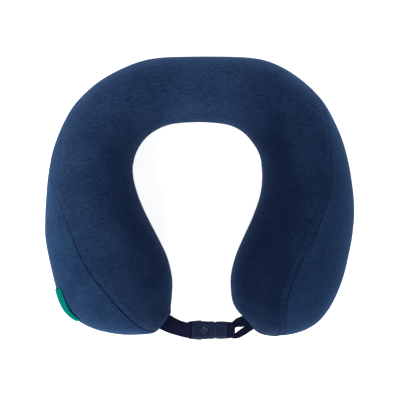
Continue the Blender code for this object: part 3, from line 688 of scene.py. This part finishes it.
def velour(name, dark, light, rim, sheen, level, gain, spread):
    """Short-pile velour with brushed patches and a fine nap, and painted light and shade: the colour is paler
    on slopes that face outward, to the front or to the back, and towards the back; darker on inward slopes,
    on the right arm and round the strap's root; and a painted sheen pales the edges seen side on. level is
    how pale the painted light makes it all over and gain how much more where it slopes outward, each on the
    left and on the right arm."""
    made, tree, shader = new_material(
        name, Roughness=0.92, Specular_IOR_Level=0.05, Sheen_Weight=sheen, Sheen_Roughness=0.42,
        Sheen_Tint=(0.12, 0.40, 1.0),
    )
    spot = coordinates(tree)
    patches = noise_node(tree, spot, 38.0, 3.0, 0.55)
    nap = noise_node(tree, spot, 560.0, 3.0, 0.62)
    strands = noise_node(tree, spot, 190.0, 2.0, 0.6, (1.0, 2.4, 1.0))
    shade = mix(tree, 0.5, mix(tree, 0.5, patches, strands), nap)
    colour = ramp(tree, shade, 0.36, 0.64, dark, light)

    slope_x, slope_y, _ = axes(tree, coordinates(tree, "Normal"))
    x, y, _ = axes(tree, spot)
    side = maths(tree, "MAXIMUM", maths(tree, "MULTIPLY", x, 22.0), -1.0)
    away = maths(tree, "MULTIPLY", slope_x, maths(tree, "MINIMUM", side, 1.0))
    ends = maths(tree, "ABSOLUTE", maths(tree, "SUBTRACT", y, 0.012))
    proud = maths(tree, "MULTIPLY", ends, by_place(tree, x, 0.0, spread))
    # Painted light and shade: a number from the surface's slope and place, which a ramp turns into a
    # multiplier of the colour.
    painted_shading = 0.0
    for value, weight in (
        (maths(tree, "MINIMUM", away, 0.0), 0.50),
        (maths(tree, "MAXIMUM", away, 0.0), maths(tree, "ADD", proud, by_place(tree, x, *gain))),
        (maths(tree, "MINIMUM", slope_y, 0.0), -0.18),
        (maths(tree, "POWER", maths(tree, "MAXIMUM", slope_y, 0.0), 4.0), 0.5),
        (y, 1.6),
        (by_place(tree, x, *level), 1.0),
        # Painted shade round the strap's root at the left tip.
        (near_spot(tree, spot, -0.030, -0.113, -0.62, 0.005, 0.022), 1.0),
    ):
        painted_shading = maths(tree, "ADD", maths(tree, "MULTIPLY", value, weight), painted_shading)
    painted_shade_colour = ramp(tree, painted_shading, 0.0, 1.0, (0.40, 0.42, 0.50), (1.75, 1.70, 1.56))
    colour = mix(tree, 1.0, colour, painted_shade_colour, "MULTIPLY")

    # Painted sheen: the colour turns towards the rim colour where the surface is seen edge on.
    facing = maths(tree, "POWER", node(tree, "LayerWeight", "Facing", Blend=0.25), 2.2)
    colour = mix(tree, maths(tree, "MULTIPLY", facing, 0.34), colour, rim)
    fine = bump(tree, nap, 0.5, 0.0005)
    set_inputs(tree, shader, Base_Color=colour, Normal=bump(tree, strands, 0.25, 0.0010, Normal=fine))
    return made


def woven(name, dark, light, across, along, depth, sheen=0.06, specular=0.15):
    """A plain weave in the piece's own UV map: ribs across at one pitch and along at another."""
    made, tree, shader = new_material(
        name, Roughness=0.88, Specular_IOR_Level=specular, Sheen_Weight=sheen, Sheen_Tint=(0.3, 0.5, 1.0),
    )
    ways = zip(axes(tree, coordinates(tree, "UV")), (across, along))
    waves = [maths(tree, "SINE", maths(tree, "MULTIPLY", way, 2 * math.pi / pitch)) for way, pitch in ways]
    height = maths(tree, "MULTIPLY_ADD", maths(tree, "MULTIPLY", *waves), 0.5, 0.5)
    fuzz = noise_node(tree, coordinates(tree), 900.0)
    colour = ramp(tree, maths(tree, "MULTIPLY", height, fuzz), 0.1, 0.55, dark, light)
    lifted = bump(tree, height, 0.7, depth)
    set_inputs(tree, shader, Base_Color=colour, Normal=bump(tree, fuzz, 0.3, 0.0002, Normal=lifted))
    return made


def moulded(name, colour, worn, oval_highlight=None):
    """Satin moulded plastic with a fine sparked texture, a little paler where it rubs. Where a third colour
    is given, a painted highlight of that colour lies in the buckle's oval."""
    made, tree, shader = new_material(name, Roughness=0.42, Specular_IOR_Level=0.20)
    spot = coordinates(tree)
    grain = noise_node(tree, spot, 2600.0, 2.0, 0.6)
    colour = ramp(tree, noise_node(tree, spot, 160.0, 3.0, 0.6), 0.35, 0.75, colour, worn)
    if oval_highlight:
        # Painted highlight: a paler spot in the socket's oval.
        highlight_spot = near_spot(tree, spot, OVAL_AT * MM, BUCKLE_Y * MM, 0.8, 0.0016, 0.0044)
        colour = mix(tree, highlight_spot, colour, oval_highlight)
    roughness = ramp(tree, grain, 0.2, 0.8, (0.34,) * 3, (0.55,) * 3)
    set_inputs(tree, shader, Base_Color=colour, Roughness=roughness, Normal=bump(tree, grain, 0.18, 0.0002))
    return made


def patterned(name, pattern, low, high, dark, light, strength, distance, rough, inputs):
    """A material whose one pattern shades its colour and lifts its surface."""
    made, tree, shader = new_material(name, **inputs)
    value = pattern(tree, coordinates(tree))
    colour = ramp(tree, value, low, high, dark, light)
    set_inputs(tree, shader, Base_Color=colour, Normal=bump(tree, value, strength, distance))
    if rough:
        set_inputs(tree, shader, Roughness=ramp(tree, value, low, high, *[(one,) * 3 for one in rough]))
    return made


def scuffs(tree, spot):
    return noise_node(tree, spot, 700.0, 4.0, 0.7, (1.0, 1.0, 0.2))


def cells(tree, spot):
    return node(tree, "TexVoronoi", "Distance", Vector=spot, Scale=900.0)


def knit(tree, spot):
    return noise_node(tree, spot, 700.0, 1.0, 0.4, (1.0, 0.5, 1.6))


# Velour: dark and light colours, the painted sheen's colour, the sheen weight, the painted light's level and
# gain on the left and the right arm, and its spread.
TOP_PILE = (
    (0.0036, 0.0115, 0.0380), (0.0148, 0.0330, 0.0820), (0.012, 0.052, 0.130), 0.10,
    (0.60, 0.19), (0.26, 0.08), 6.5,
)
# The side panels are the same velour as the top in paler colours, with more painted light on their outward
# slopes.
SIDE_PILE = (
    (0.0040, 0.0150, 0.0450), (0.0146, 0.0366, 0.0930), (0.015, 0.064, 0.158), 0.12,
    (0.60, 0.35), (0.22, 0.03), 0.0,
)
NAVY_THREAD = ((0.0006, 0.0014, 0.0100), (0.0045, 0.0085, 0.0460))
LOOKS = {
    "velour_top": (velour, *TOP_PILE),
    "velour_side": (velour, *SIDE_PILE),
    "velour_base": (velour, *TOP_PILE),
    "webbing_navy": (woven, *NAVY_THREAD, 0.0016, 0.0011, 0.0003),
    "elastic_navy": (woven, *NAVY_THREAD, 0.0009, 0.0012, 0.0003),
    "label_woven_green": (
        woven, (0.0, 0.10, 0.085), (0.0015, 0.23, 0.19), 0.0006, 0.0006, 0.0001, 0.0, 0.0,
    ),
    "zip_tape_woven": (woven, (0.002, 0.004, 0.012), (0.008, 0.015, 0.040), 0.0010, 0.0007, 0.0002),
    "zip_coil_nylon": (moulded, (0.003, 0.005, 0.014), (0.008, 0.012, 0.03)),
    "zip_dark_metal": (
        patterned, scuffs, 0.3, 0.7, (0.05, 0.05, 0.058), (0.15, 0.15, 0.16), 0.12, 0.0002,
        (0.28, 0.46), {"Metallic": 1.0},
    ),
    # The third colour is the painted highlight in the socket's oval.
    "buckle_acetal": (
        moulded, (0.0018, 0.0070, 0.0290), (0.0048, 0.0135, 0.0460), (0.014, 0.028, 0.052),
    ),
    "memory_foam": (
        patterned, cells, 0.1, 0.7, (0.55, 0.50, 0.38), (0.80, 0.76, 0.64), 0.5, 0.0006, None,
        {"Roughness": 0.95, "Specular IOR Level": 0.2},
    ),
    "liner_knit": (
        patterned, knit, 0.35, 0.65, (0.010, 0.012, 0.020), (0.030, 0.034, 0.050), 0.5, 0.0004, None,
        {"Roughness": 0.95, "Specular IOR Level": 0.2, "Sheen Weight": 0.2},
    ),
}
MATERIALS = {name: make(name, *numbers) for name, (make, *numbers) in LOOKS.items()}


# ---- Bands: the webbing strap and the elastic ----

SOCKET_X = [corner[0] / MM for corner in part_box("buckle_socket")]
PLUG_END_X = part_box("buckle_plug_frame")[1][0] / MM
BAR_HALF_T = 1.5
BAR_W = 2.6
PLUG_BAR_W = 3.1
BAR_PLAY = 0.4
STRAP_GAP = 0.35
WEBBING_W = 15.0
ROOT_W = 17.4
WEBBING_T = 1.1
ELASTIC_T = 0.9
SLEEVE_HALF = 6.5
SLEEVE_PLAY = 0.3
SLEEVE_R = 0.4
BAND_EDGE_R = 0.4
# From the left tip to the buckle: x, y and how far the strap is turned.
STRAP_PLAN = (
    (-39.0, -116.3, -32), (-34.8, -119.0, -32), (-29.5, -121.9, -25), (-23.5, -124.5, -19),
    (-18.0, -126.3, -12), (-14.6, -127.2, -5),
)
# Round the bar: how far back from the bend, and a share of the height over the bar.
STRAP_EYE = ((4.95, 0.72), (3.65, 1.0), (1.65, 1.0), (0.55, 0.82), (0.0, 0.4))
# From the plug to the right tip: the height beside the buckle's, then x, y, width and turn.
ELASTIC_ROUTES = (
    (1.0, (
        (31.6, -123.5, 5.6, 4), (34.4, -121.9, 7.2, 14), (37.4, -120.4, 9.0, 24),
        (41.0, -119.5, 10.4, 30), (46.0, -117.9, 10.8, 34), (49.4, -116.4, 10.6, 35),
    )),
    (-0.6, (
        (31.6, -133.7, 4.6, 0), (34.6, -133.6, 5.2, 7), (38.0, -132.2, 6.6, 20),
        (42.0, -129.7, 7.3, 30), (48.0, -125.8, 7.2, 34), (54.4, -121.4, 6.6, 36),
    )),
)
HEXAGON = [(math.cos(turn), math.sin(turn)) for turn in np.radians(range(0, 360, 60))]
GRAIN = ((-1.0, 0.25), (-0.8, 0.75), (0.0, 1.0), (0.8, 0.75), (1.0, 0.25))


def band_skin(centres, turns, widths, thickness, columns):
    """A flat band with rounded edges along centre points, level across and turned as given."""
    turns = np.radians(turns)
    across = np.stack((-np.sin(turns), np.cos(turns), 0 * turns), -1)
    ahead = np.gradient(centres, axis=0)
    ahead /= np.linalg.norm(ahead, axis=1, keepdims=True)
    across = across - ahead * (across * ahead).sum(1, keepdims=True)
    across /= np.linalg.norm(across, axis=1, keepdims=True)
    thick = thickness / 2
    points, uv = [], []
    rows = zip(centres, across, np.cross(ahead, across), widths, run_along(centres))
    for centre, side, up, width, walk in rows:
        flat = width / 2 - BAND_EDGE_R
        half = [(x, thick) for x in np.linspace(-flat, flat, columns)]
        for turn in np.radians((60, 20, -20, -60)):
            half.append((flat + BAND_EDGE_R * math.cos(turn), thick * math.sin(turn)))
        for x, z in half + [(-x, -z) for x, z in half]:
            points.append(centre + x * side + z * up)
            uv.append((walk, x))
    return points, rod_faces(len(centres), 2 * len(half)), uv


def curve_through(points, step):
    """Rows this far apart along a smooth curve through a few rows, which begin with x, y and z."""
    curve = natural_spline(points)
    places = np.linspace(0, len(points) - 1, 40 * len(points))
    run = run_along(curve(places)[:, :3])
    count = max(3, int(run[-1] / step))
    return curve(np.interp(np.linspace(0, run[-1], count), run, places))


def hexagonal(points):
    """The skin of a thin six-sided rod."""
    return points, rod_faces(len(points) // 6, 6), ()


def capsule(at, ahead, up, length, radius):
    """One thread stitch: a long grain that lies along ahead."""
    side = np.cross(up, ahead)
    return hexagonal([
        at + along * length / 2 * ahead + wide * radius * (cos * side + sin * up)
        for along, wide in GRAIN for cos, sin in HEXAGON
    ])


def stitch_run(name, at, up, slot, length, gap, radius):
    """A row of stitches along points, each pressed a little way into the cloth."""
    run = run_along(at)

    def between(values, distance):
        return np.array([np.interp(distance, run, column) for column in np.transpose(values)])

    grains = []
    for i in range(int(run[-1] / (length + gap))):
        middle = (i + 0.5) * (length + gap)
        ahead = between(at, middle + 1) - between(at, middle - 1)
        lift = between(up, middle)
        ahead, lift = ahead / np.linalg.norm(ahead), lift / np.linalg.norm(lift)
        grains.append(capsule(between(at, middle), ahead, lift, length, radius))
    solid_piece(name, joined(grains), slot)


def make_strap():
    """Out of the left tip, over the socket's bar, back under it and into the tip again."""
    lift = (WEBBING_T + STRAP_GAP) / 2
    over = BAR_HALF_T + STRAP_GAP + WEBBING_T / 2
    bend = SOCKET_X[0] + BAR_W + BAR_PLAY + WEBBING_T / 2
    eye = [(bend - back, share * over) for back, share in STRAP_EYE]
    eye += [(x, -z) for x, z in eye[::-1]]
    route = [(x, y, BUCKLE_Z + lift, turn) for x, y, turn in STRAP_PLAN]
    route += [(x, BUCKLE_Y, BUCKLE_Z + z, 0) for x, z in eye]
    route += [(x, y, BUCKLE_Z - lift, turn) for x, y, turn in STRAP_PLAN[::-1]]
    fine = curve_through(route, 0.8)
    widths = np.interp(fine[:, 0], (-36.0, -20.0), (ROOT_W, WEBBING_W))
    skin = band_skin(fine[:, :3], fine[:, 3], widths, WEBBING_T, 15)
    solid_piece("strap_webbing_cloth", skin, "webbing_navy", "strap_webbing", sharp_deg=50)
    # Two bars of thread hold the layers together beside the buckle.
    for number, x in enumerate((-17.2, -19.6)):
        y, turn = [np.interp(x, *np.transpose(STRAP_PLAN)[[0, row]]) for row in (1, 2)]
        turn = math.radians(turn)
        middle = np.array((x, y, BUCKLE_Z + lift + WEBBING_T / 2))
        across = np.array((-math.sin(turn), math.cos(turn), 0.0))
        line = [middle + k * across for k in np.linspace(-6.2, 6.2, 12)]
        stitch_run("strap_tack_%d" % number, line, [(0, 0, 1)] * 12, "webbing_navy", 1.0, 0.25, 0.26)


def sleeve_skin():
    """The elastic's fold round the plug's bar."""
    loops = []
    for grow, inner in ((ELASTIC_T, 2.3), (0.0, 0.0)):
        radius = SLEEVE_R + grow
        low = BAR_HALF_T + SLEEVE_PLAY + grow - radius
        x0 = PLUG_END_X - PLUG_BAR_W - SLEEVE_PLAY - grow - inner + radius
        x1 = PLUG_END_X + SLEEVE_PLAY + grow - radius
        loops.append([
            (x + radius * math.cos(turn), z + radius * math.sin(turn))
            for x, z, start in ((x1, low, 0), (x0, low, 90), (x0, -low, 180), (x1, -low, 270))
            for turn in np.radians(np.linspace(start, start + 90, 5))
        ])
    rows = np.linspace(-SLEEVE_HALF, SLEEVE_HALF, 17)
    count = len(loops[0])
    points = [(x, BUCKLE_Y + y, BUCKLE_Z + z) for loop in loops for y in rows for x, z in loop]
    uv = [(0.9 * i, y) for _ in loops for y in rows for i in range(count)]
    return points, double_faces(len(rows), count, True), uv


def make_elastic():
    """A sleeve round the plug's bar, and two strands that run into the right tip."""
    skins = [sleeve_skin()]
    for rise, route in ELASTIC_ROUTES:
        fine = curve_through([(x, y, BUCKLE_Z + rise, wide, turn) for x, y, wide, turn in route], 0.7)
        skins.append(band_skin(fine[:, :3], fine[:, 4], fine[:, 3], ELASTIC_T, 11))
    loop = solid_piece("elastic_loop_cloth", joined(skins), "elastic_navy", "elastic_loop", sharp_deg=50)
    loop.parent = None
    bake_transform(loop)


# ---- Label ----

LABEL_T = (-14.5, -16.45)
LABEL_S = (3.5, 4.36)
LABEL_GRID = (44, 30)
LABEL_THICK = 0.55
LABEL_HEM = 2


def make_label():
    """A blank woven label on the left side panel, bowed out from it, with a stitched border."""
    rows, columns = LABEL_GRID
    tt, ss = np.meshgrid(np.linspace(*LABEL_T, rows), np.linspace(*LABEL_S, columns), indexing="ij")
    u, v = np.meshgrid(np.linspace(0, 1, rows), np.linspace(0, 1, columns), indexing="ij")
    normal = outward(tt, ss)
    bow = 1.3 + 1.2 * np.sin(math.pi * u) ** 0.7 * np.sin(math.pi * np.clip(v, 0, 0.85))
    bow += 0.22 * np.sin(9 * u + 2) * v**2
    outer = surface(tt, ss) + bow[..., None] * normal
    points = np.concatenate((outer, outer - LABEL_THICK * normal)).reshape(-1, 3)
    length, height = run_along(outer[:, 0])[-1], run_along(outer[0])[-1]
    uv = [(length * a, height * b) for a, b in zip(u.ravel(), v.ravel())] * 2
    skin = (points, double_faces(rows, columns), uv)
    solid_piece("side_label_cloth", skin, "label_woven_green", "side_label", sharp_deg=50)
    inside = slice(LABEL_HEM, -LABEL_HEM)
    rim = rim_of(columns - 2 * LABEL_HEM, rows - 2 * LABEL_HEM)
    line, up = [
        grid[inside, inside].transpose(1, 0, 2).reshape(-1, 3)[rim] for grid in (outer, normal)
    ]
    stitch_run("side_label_thread", line, up, "label_woven_green", 1.5, 0.7, 0.14)


# ---- Zip: tapes, teeth, and the topstitching beside it ----

ZIP_MIDDLE = 20.0
SIGN = {"upper": 1, "lower": -1}
TEETH_END_DEG = 57.0
TAPE_END_DEG = 62.6
TAPE_SINK_DEG = 59.0
TAPE_BACK = -1.2
TOOTH_PITCH = 1.5
TOOTH_R = 0.36
# From the tape to the middle: the height beside it, the distance off the wall and the width.
TOOTH = (
    (3.2, -0.55, 0.75), (2.3, -0.12, 0.95), (1.5, -0.1, 1.0), (0.95, -0.35, 1.25), (0.62, -0.75, 1.05),
)
TOPSTITCH_Z = {"upper": 31.9, "lower": 8.4}
STITCH_UP = 0.05


def on_wall(angle_deg, out, height):
    """A point beside the back wall: out is the distance outward from it."""
    turn = np.radians(angle_deg)
    radius = WALL_R + out
    return np.stack(np.broadcast_arrays(radius * np.sin(turn), radius * np.cos(turn), height), -1)


def make_tape(side):
    """A woven tape: flat, with a rib where the teeth are sewn on and a turned outer edge."""
    near, far = [corner[2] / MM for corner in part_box("zip_tape_" + side)][:: SIGN[side]]
    share = np.linspace(0, 1, 15)
    rib, ridge = np.exp(-(((share - 0.14) / 0.07) ** 2)), np.exp(-(((share - 0.55) / 0.04) ** 2))
    front = -0.25 + 0.16 * rib + 0.08 * ridge
    front[[0, -1]] -= 0.3
    heights = near + (far - near) * np.concatenate((share, share[::-1]))
    outs = np.concatenate((front, np.full(len(share), TAPE_BACK)))
    angles = np.linspace(-TAPE_END_DEG, TAPE_END_DEG, 251)
    sink = 1.4 * eased((np.abs(angles) - TAPE_SINK_DEG) / 1.6)
    points = on_wall(angles[:, None], outs - sink[:, None], heights).reshape(-1, 3)
    uv = [(math.radians(angle) * WALL_R, height) for angle in angles for height in heights]
    skin = (points, rod_faces(len(angles), len(heights)), uv)
    solid_piece("zip_tape_cloth_" + side, skin, "zip_tape_woven", "zip_tape_" + side, sharp_deg=60)


def make_teeth(side):
    """A nylon coil's turns: one bent grain for each, from the tape to just short of the middle."""
    sign = SIGN[side]
    first = 0.6 if side == "upper" else 1.1
    step = math.degrees(TOOTH_PITCH / WALL_R)
    skins = []
    for i in range(int(2 * TEETH_END_DEG / step) - 1):
        angle = -TEETH_END_DEG + (i + first) * step
        skins.append(hexagonal([
            on_wall(
                angle + math.degrees(wide * TOOTH_R * cos / WALL_R), out + TOOTH_R * sin,
                ZIP_MIDDLE + sign * up,
            )
            for up, out, wide in TOOTH for cos, sin in HEXAGON
        ]))
    # A cord runs inside the turns.
    skins.append(hexagonal([
        on_wall(angle, -0.75 + 0.4 * sin, ZIP_MIDDLE + sign * (1.9 + 0.5 * cos))
        for angle in np.linspace(-TEETH_END_DEG, TEETH_END_DEG, 161) for cos, sin in HEXAGON
    ]))
    solid_piece("zip_teeth_" + side, joined(skins), "zip_coil_nylon", "zip_coil_" + side)


def make_topstitch():
    """The thread that holds the cover's hems to the zip tapes."""
    rings = np.linspace(-ZIP_END_DEG + 1, ZIP_END_DEG - 1, 121) / BACK_STEP_DEG
    for side, height in TOPSTITCH_Z.items():
        places = np.array([place_at_height(ring, height) for ring in rings])
        normal = outward(rings, places)
        line = surface(rings, places) + STITCH_UP * normal
        stitch_run("zip_topstitch_" + side, line, normal, "zip_tape_woven", 2.8, 1.3, 0.26)


def place_at_height(ring, height):
    """The place on the outer wall of a ring that is this high."""
    places = np.linspace(1.0, 4.0, 200)
    return float(np.interp(height, surface(np.full(200, ring), places)[:, 2], places))


# ---- Moulded and cast pieces ----

CROWN_POWER = 3.6
CAVITY_X = 1.6
CAVITY_HALF = (7.6, 2.3)
WINDOW_X = (1.9, 9.6)
OVAL_HALF = (6.4, 4.9)
OVAL_RING_W = 1.25
OVAL_DEPTH = 0.75
DISH_HALF = (4.7, 3.3, 1.3)
DISH_UP = 0.5
SOCKET_HALF_T = 3.5
PANEL = (20.9, 0, 4.6, 4.2, 48, 5.0)
PANEL_Z = (3.0, 4.4)
TONGUE = (10.0, 0, 7.0, 1.4, 40, 5.0)
TONGUE_Z = (-1.6, 1.6)
HINGE_X = 16.4
HINGE_Y = 6.0
POCKET_R = 1.6
ARM_CLEAR = 2.2
SLOT_PLAY = 0.25
FAR = 9.0


def block(x, y, z):
    """A box between two places each way; y and z are counted from the buckle's axis."""
    points = [(a, BUCKLE_Y + b, BUCKLE_Z + c) for a in x for b in y for c in z]
    faces = [(0, 1, 3, 2), (4, 6, 7, 5), (0, 4, 5, 1), (2, 3, 7, 6), (0, 2, 6, 4), (1, 5, 7, 3)]
    return linked("block", closed_mesh("block", points, faces))


def ellipse(x, y, half_x, half_y, count=48, power=2.0):
    found = []
    for i in range(count):
        turn = 2 * math.pi * i / count
        cos, sin = [math.copysign(abs(one) ** (2 / power), one) for one in (math.cos(turn), math.sin(turn))]
        found.append((x + half_x * cos, y + half_y * sin))
    return found


def upright(outline, z):
    """A straight-sided body over an outline in x and y; y and z are counted from the buckle's axis."""
    points = [(x, BUCKLE_Y + y, BUCKLE_Z + height) for height in z for x, y in outline]
    return linked("upright", closed_mesh("upright", points, rod_faces(2, len(outline))))


def ball(centre, half):
    """An ellipsoid."""
    work = bmesh.new()
    bmesh.ops.create_uvsphere(work, u_segments=40, v_segments=20, radius=MM)
    for corner in work.verts:
        corner.co = [middle * MM + h * value for middle, h, value in zip(centre, half, corner.co)]
    mesh = bpy.data.meshes.new("ball")
    work.to_mesh(mesh)
    work.free()
    return linked("ball", mesh)


def crowned(name, stations):
    """A body along x: each station gives x, half width and half thickness of a rounded section."""
    fine = curve_through(stations, 0.45)
    points = [
        (x, BUCKLE_Y + y, BUCKLE_Z + z)
        for x, wide, high in fine for y, z in ellipse(0, 0, wide, high, 56, CROWN_POWER)
    ]
    return linked(name, closed_mesh(name, points, rod_faces(len(fine), 56)))


def bake(thing):
    """Gives an object the mesh that its modifiers make."""
    graph = bpy.context.evaluated_depsgraph_get()
    mesh = bpy.data.meshes.new_from_object(thing.evaluated_get(graph))
    thing.modifiers.clear()
    thing.data = mesh


def combine(target, cuts, added=()):
    """Joins the added tools to a body, cuts the others out of it and removes them all."""
    for operation, tools in (("UNION", added), ("DIFFERENCE", cuts)):
        for tool in tools:
            change = target.modifiers.new("change", "BOOLEAN")
            change.object = tool
            change.operation = operation
            change.solver = "EXACT"
    bake(target)
    for tool in (*added, *cuts):
        bpy.data.objects.remove(tool, do_unlink=True)


def softened(thing, voxel=0.24, passes=3, keep=0.35):
    """Moulded edges: an even mesh, smoothed, then thinned out where it is flat."""
    remesh = thing.modifiers.new("even", "REMESH")
    remesh.mode = "VOXEL"
    remesh.voxel_size = voxel * MM
    remesh.adaptivity = 0.0
    smooth = thing.modifiers.new("soften", "SMOOTH")
    smooth.factor = 0.5
    smooth.iterations = passes
    thing.modifiers.new("thin", "DECIMATE").ratio = keep
    bake(thing)
    thing.data.polygons.foreach_set("use_smooth", [True] * len(thing.data.polygons))
    thing.data.update()
    return thing


def bar_cuts(slot, bar, half):
    """Cuts for a bar that a band goes round: the slot beside it, and what thins it over and under."""
    y = (-half - SLOT_PLAY, half + SLOT_PLAY)
    return [block(slot, y, (-FAR, FAR)), block(bar, y, (BAR_HALF_T, FAR)), block(bar, y, (-FAR, -BAR_HALF_T))]


def make_socket():
    """The female half: crowned, with a bar for the strap, an oval thumb mark and a lip at its mouth."""
    x0, x1 = SOCKET_X
    body = crowned("buckle_socket_shell", (
        (x0, 7.6, 2.3), (x0 + 0.5, 8.3, 2.9), (x0 + 2.2, 8.75, 3.25), (-5, 9.15, 3.45), (-1, 9.55, 3.5),
        (3.5, 9.65, 3.5), (8, 9.35, 3.5), (11.2, 8.75, 3.4), (12.2, 8.5, 3.35), (12.7, 8.7, 3.5),
        (13.9, 8.6, 3.5), (x1 + 0.3, 8, 3.1),
    ))
    wide, high = CAVITY_HALF
    bar = x0 + BAR_W
    cuts = [
        block((CAVITY_X, x1 + 5), (-wide, wide), (-high, high)),
        block(WINDOW_X, (-15, 15), (-high, high)),
        *bar_cuts((bar, bar + BAR_PLAY + WEBBING_T - 0.1), (x0 - 3, bar + 0.05), WEBBING_W / 2),
    ]
    for sign in (1, -1):
        level = sign * SOCKET_HALF_T
        ring, island = [
            upright(ellipse(OVAL_AT, 0, *[half - less for half in OVAL_HALF]), (level - deep, level + deep))
            for less, deep in ((0, OVAL_DEPTH), (OVAL_RING_W, 3 * OVAL_DEPTH))
        ]
        combine(ring, [island])
        cuts += [ring, ball((OVAL_AT, BUCKLE_Y, BUCKLE_Z + level + sign * DISH_UP), DISH_HALF)]
    combine(body, cuts)
    finish_piece(softened(body), "pillow", "buckle_acetal", "buckle_socket")


def make_plug():
    """The male half: crowned base, a bar for the elastic, a middle tongue and pockets for its arms."""
    end = PLUG_END_X
    body = crowned("buckle_plug_base", (
        (14.85, 7.8, 3.0), (15.5, 8.3, 3.35), (17.5, 8.5, 3.4), (21.0, 8.7, 3.4), (25.5, 8.45, 3.35),
        (29.5, 8.1, 3.2), (32.2, 7.5, 2.8), (end, 6.9, 2.2),
    ))
    bar = end - PLUG_BAR_W
    cuts = bar_cuts((bar - 3.2, bar), (bar - 0.05, end + 3), SLEEVE_HALF)
    cuts += [upright(ellipse(*PANEL), z) for z in (PANEL_Z, [-height for height in PANEL_Z[::-1]])]
    clear = (-ARM_CLEAR, ARM_CLEAR)
    for y in (HINGE_Y, -HINGE_Y):
        cuts.append(upright(ellipse(HINGE_X, y, POCKET_R, POCKET_R), clear))
        cuts.append(block((12.5, HINGE_X), (y - POCKET_R, y + POCKET_R), clear))
    combine(body, cuts, [upright(ellipse(*TONGUE), TONGUE_Z)])
    finish_piece(softened(body), "plug", "buckle_acetal", "buckle_plug_frame")


# CAD pieces that only get their edges rounded, as they come out of a mould: the node, the piece's
# name, its body, its slot and the size of the rounding.
ROUNDED = (
    ("buckle_latch_arm_rear", "buckle_latch_rear", "latch_rear", "buckle_acetal", 0.16),
    ("buckle_latch_arm_front", "buckle_latch_front", "latch_front", "buckle_acetal", 0.16),
    ("zip_slider_body", "zip_slider_cast", "slider", "zip_dark_metal", 0.13),
    ("zip_pull_tab", "zip_pull_cast", "pull_tab", "zip_dark_metal", 0.11),
    ("zip_end_stop_left", "zip_stop_cast_left", "pillow", "zip_dark_metal", 0.1),
    ("zip_end_stop_right", "zip_stop_cast_right", "pillow", "zip_dark_metal", 0.1),
)


def make_hardware():
    make_socket()
    make_plug()
    for cad_node, name, body, slot, voxel in ROUNDED:
        made = softened(linked(name, nodes[cad_node].data.copy()), voxel, 2, 0.5)
        finish_piece(made, body, slot, cad_node)


# ---- Stage ----

CAMERA_AWAY = 1.7
CAMERA_AT = (0.0005, -0.001, CAMERA_AWAY + 0.045)
VIEW_WIDTH = 0.388
SENSOR = 36.0
FLOOR_REACH = 3.0
FLOOR_Z = -0.0004
LIGHT_SIZE = 0.9
LIGHTS = (
    ("key", (-1.45, -0.45, 1.0), 18.5), ("fill", (1.5, 0.0, 0.9), 10.0),
    ("back", (-0.2, 1.6, 0.9), 7.5), ("front", (-0.2, -1.5, 1.1), 15.0),
)


def make_stage():
    floor = linked("floor", bpy.data.meshes.new("floor"))
    corners = [(x * FLOOR_REACH, y * FLOOR_REACH, FLOOR_Z) for x, y in ((-1, -1), (1, -1), (1, 1), (-1, 1))]
    floor.data.from_pydata(corners, [], [(0, 1, 2, 3)])
    paper, _, _ = new_material(
        "floor_paper", Roughness=0.9, Specular_IOR_Level=0.1, Base_Color=(0.85, 0.85, 0.85),
        Emission_Color=(1.0, 1.0, 1.0), Emission_Strength=0.8,
    )
    floor.data.materials.append(paper)

    scene.world = bpy.data.worlds.new("studio")
    scene.world.use_nodes = True
    tree = scene.world.node_tree
    set_inputs(tree, tree.nodes["Background"], Color=(0.94, 0.97, 1.0), Strength=0.45)
    for name, place, power in LIGHTS:
        data = bpy.data.lights.new(name, "AREA")
        data.shape = "DISK"
        data.size = LIGHT_SIZE
        data.energy = power
        light = linked(name, data)
        light.location = place
        light.rotation_euler = (-Vector(place)).to_track_quat("-Z", "Y").to_euler()

    data = bpy.data.cameras.new("camera")
    data.sensor_width = SENSOR
    data.lens = SENSOR * CAMERA_AWAY / VIEW_WIDTH
    data.clip_end = 10.0
    scene.camera = linked("camera", data)
    scene.camera.location = CAMERA_AT
    scene.view_settings.view_transform = "Standard"


# ---- Making it ----

make_stage()
SWELL = swell_field()
make_cover()
inner_layer("foam_core_body", "foam_core", "memory_foam", 6.4)
inner_layer("inner_liner_knit", "inner_liner", "liner_knit", 4.9, 0.5)
make_label()
make_strap()
make_elastic()
for zip_side in ("upper", "lower"):
    make_tape(zip_side)
    make_teeth(zip_side)
make_topstitch()
make_hardware()
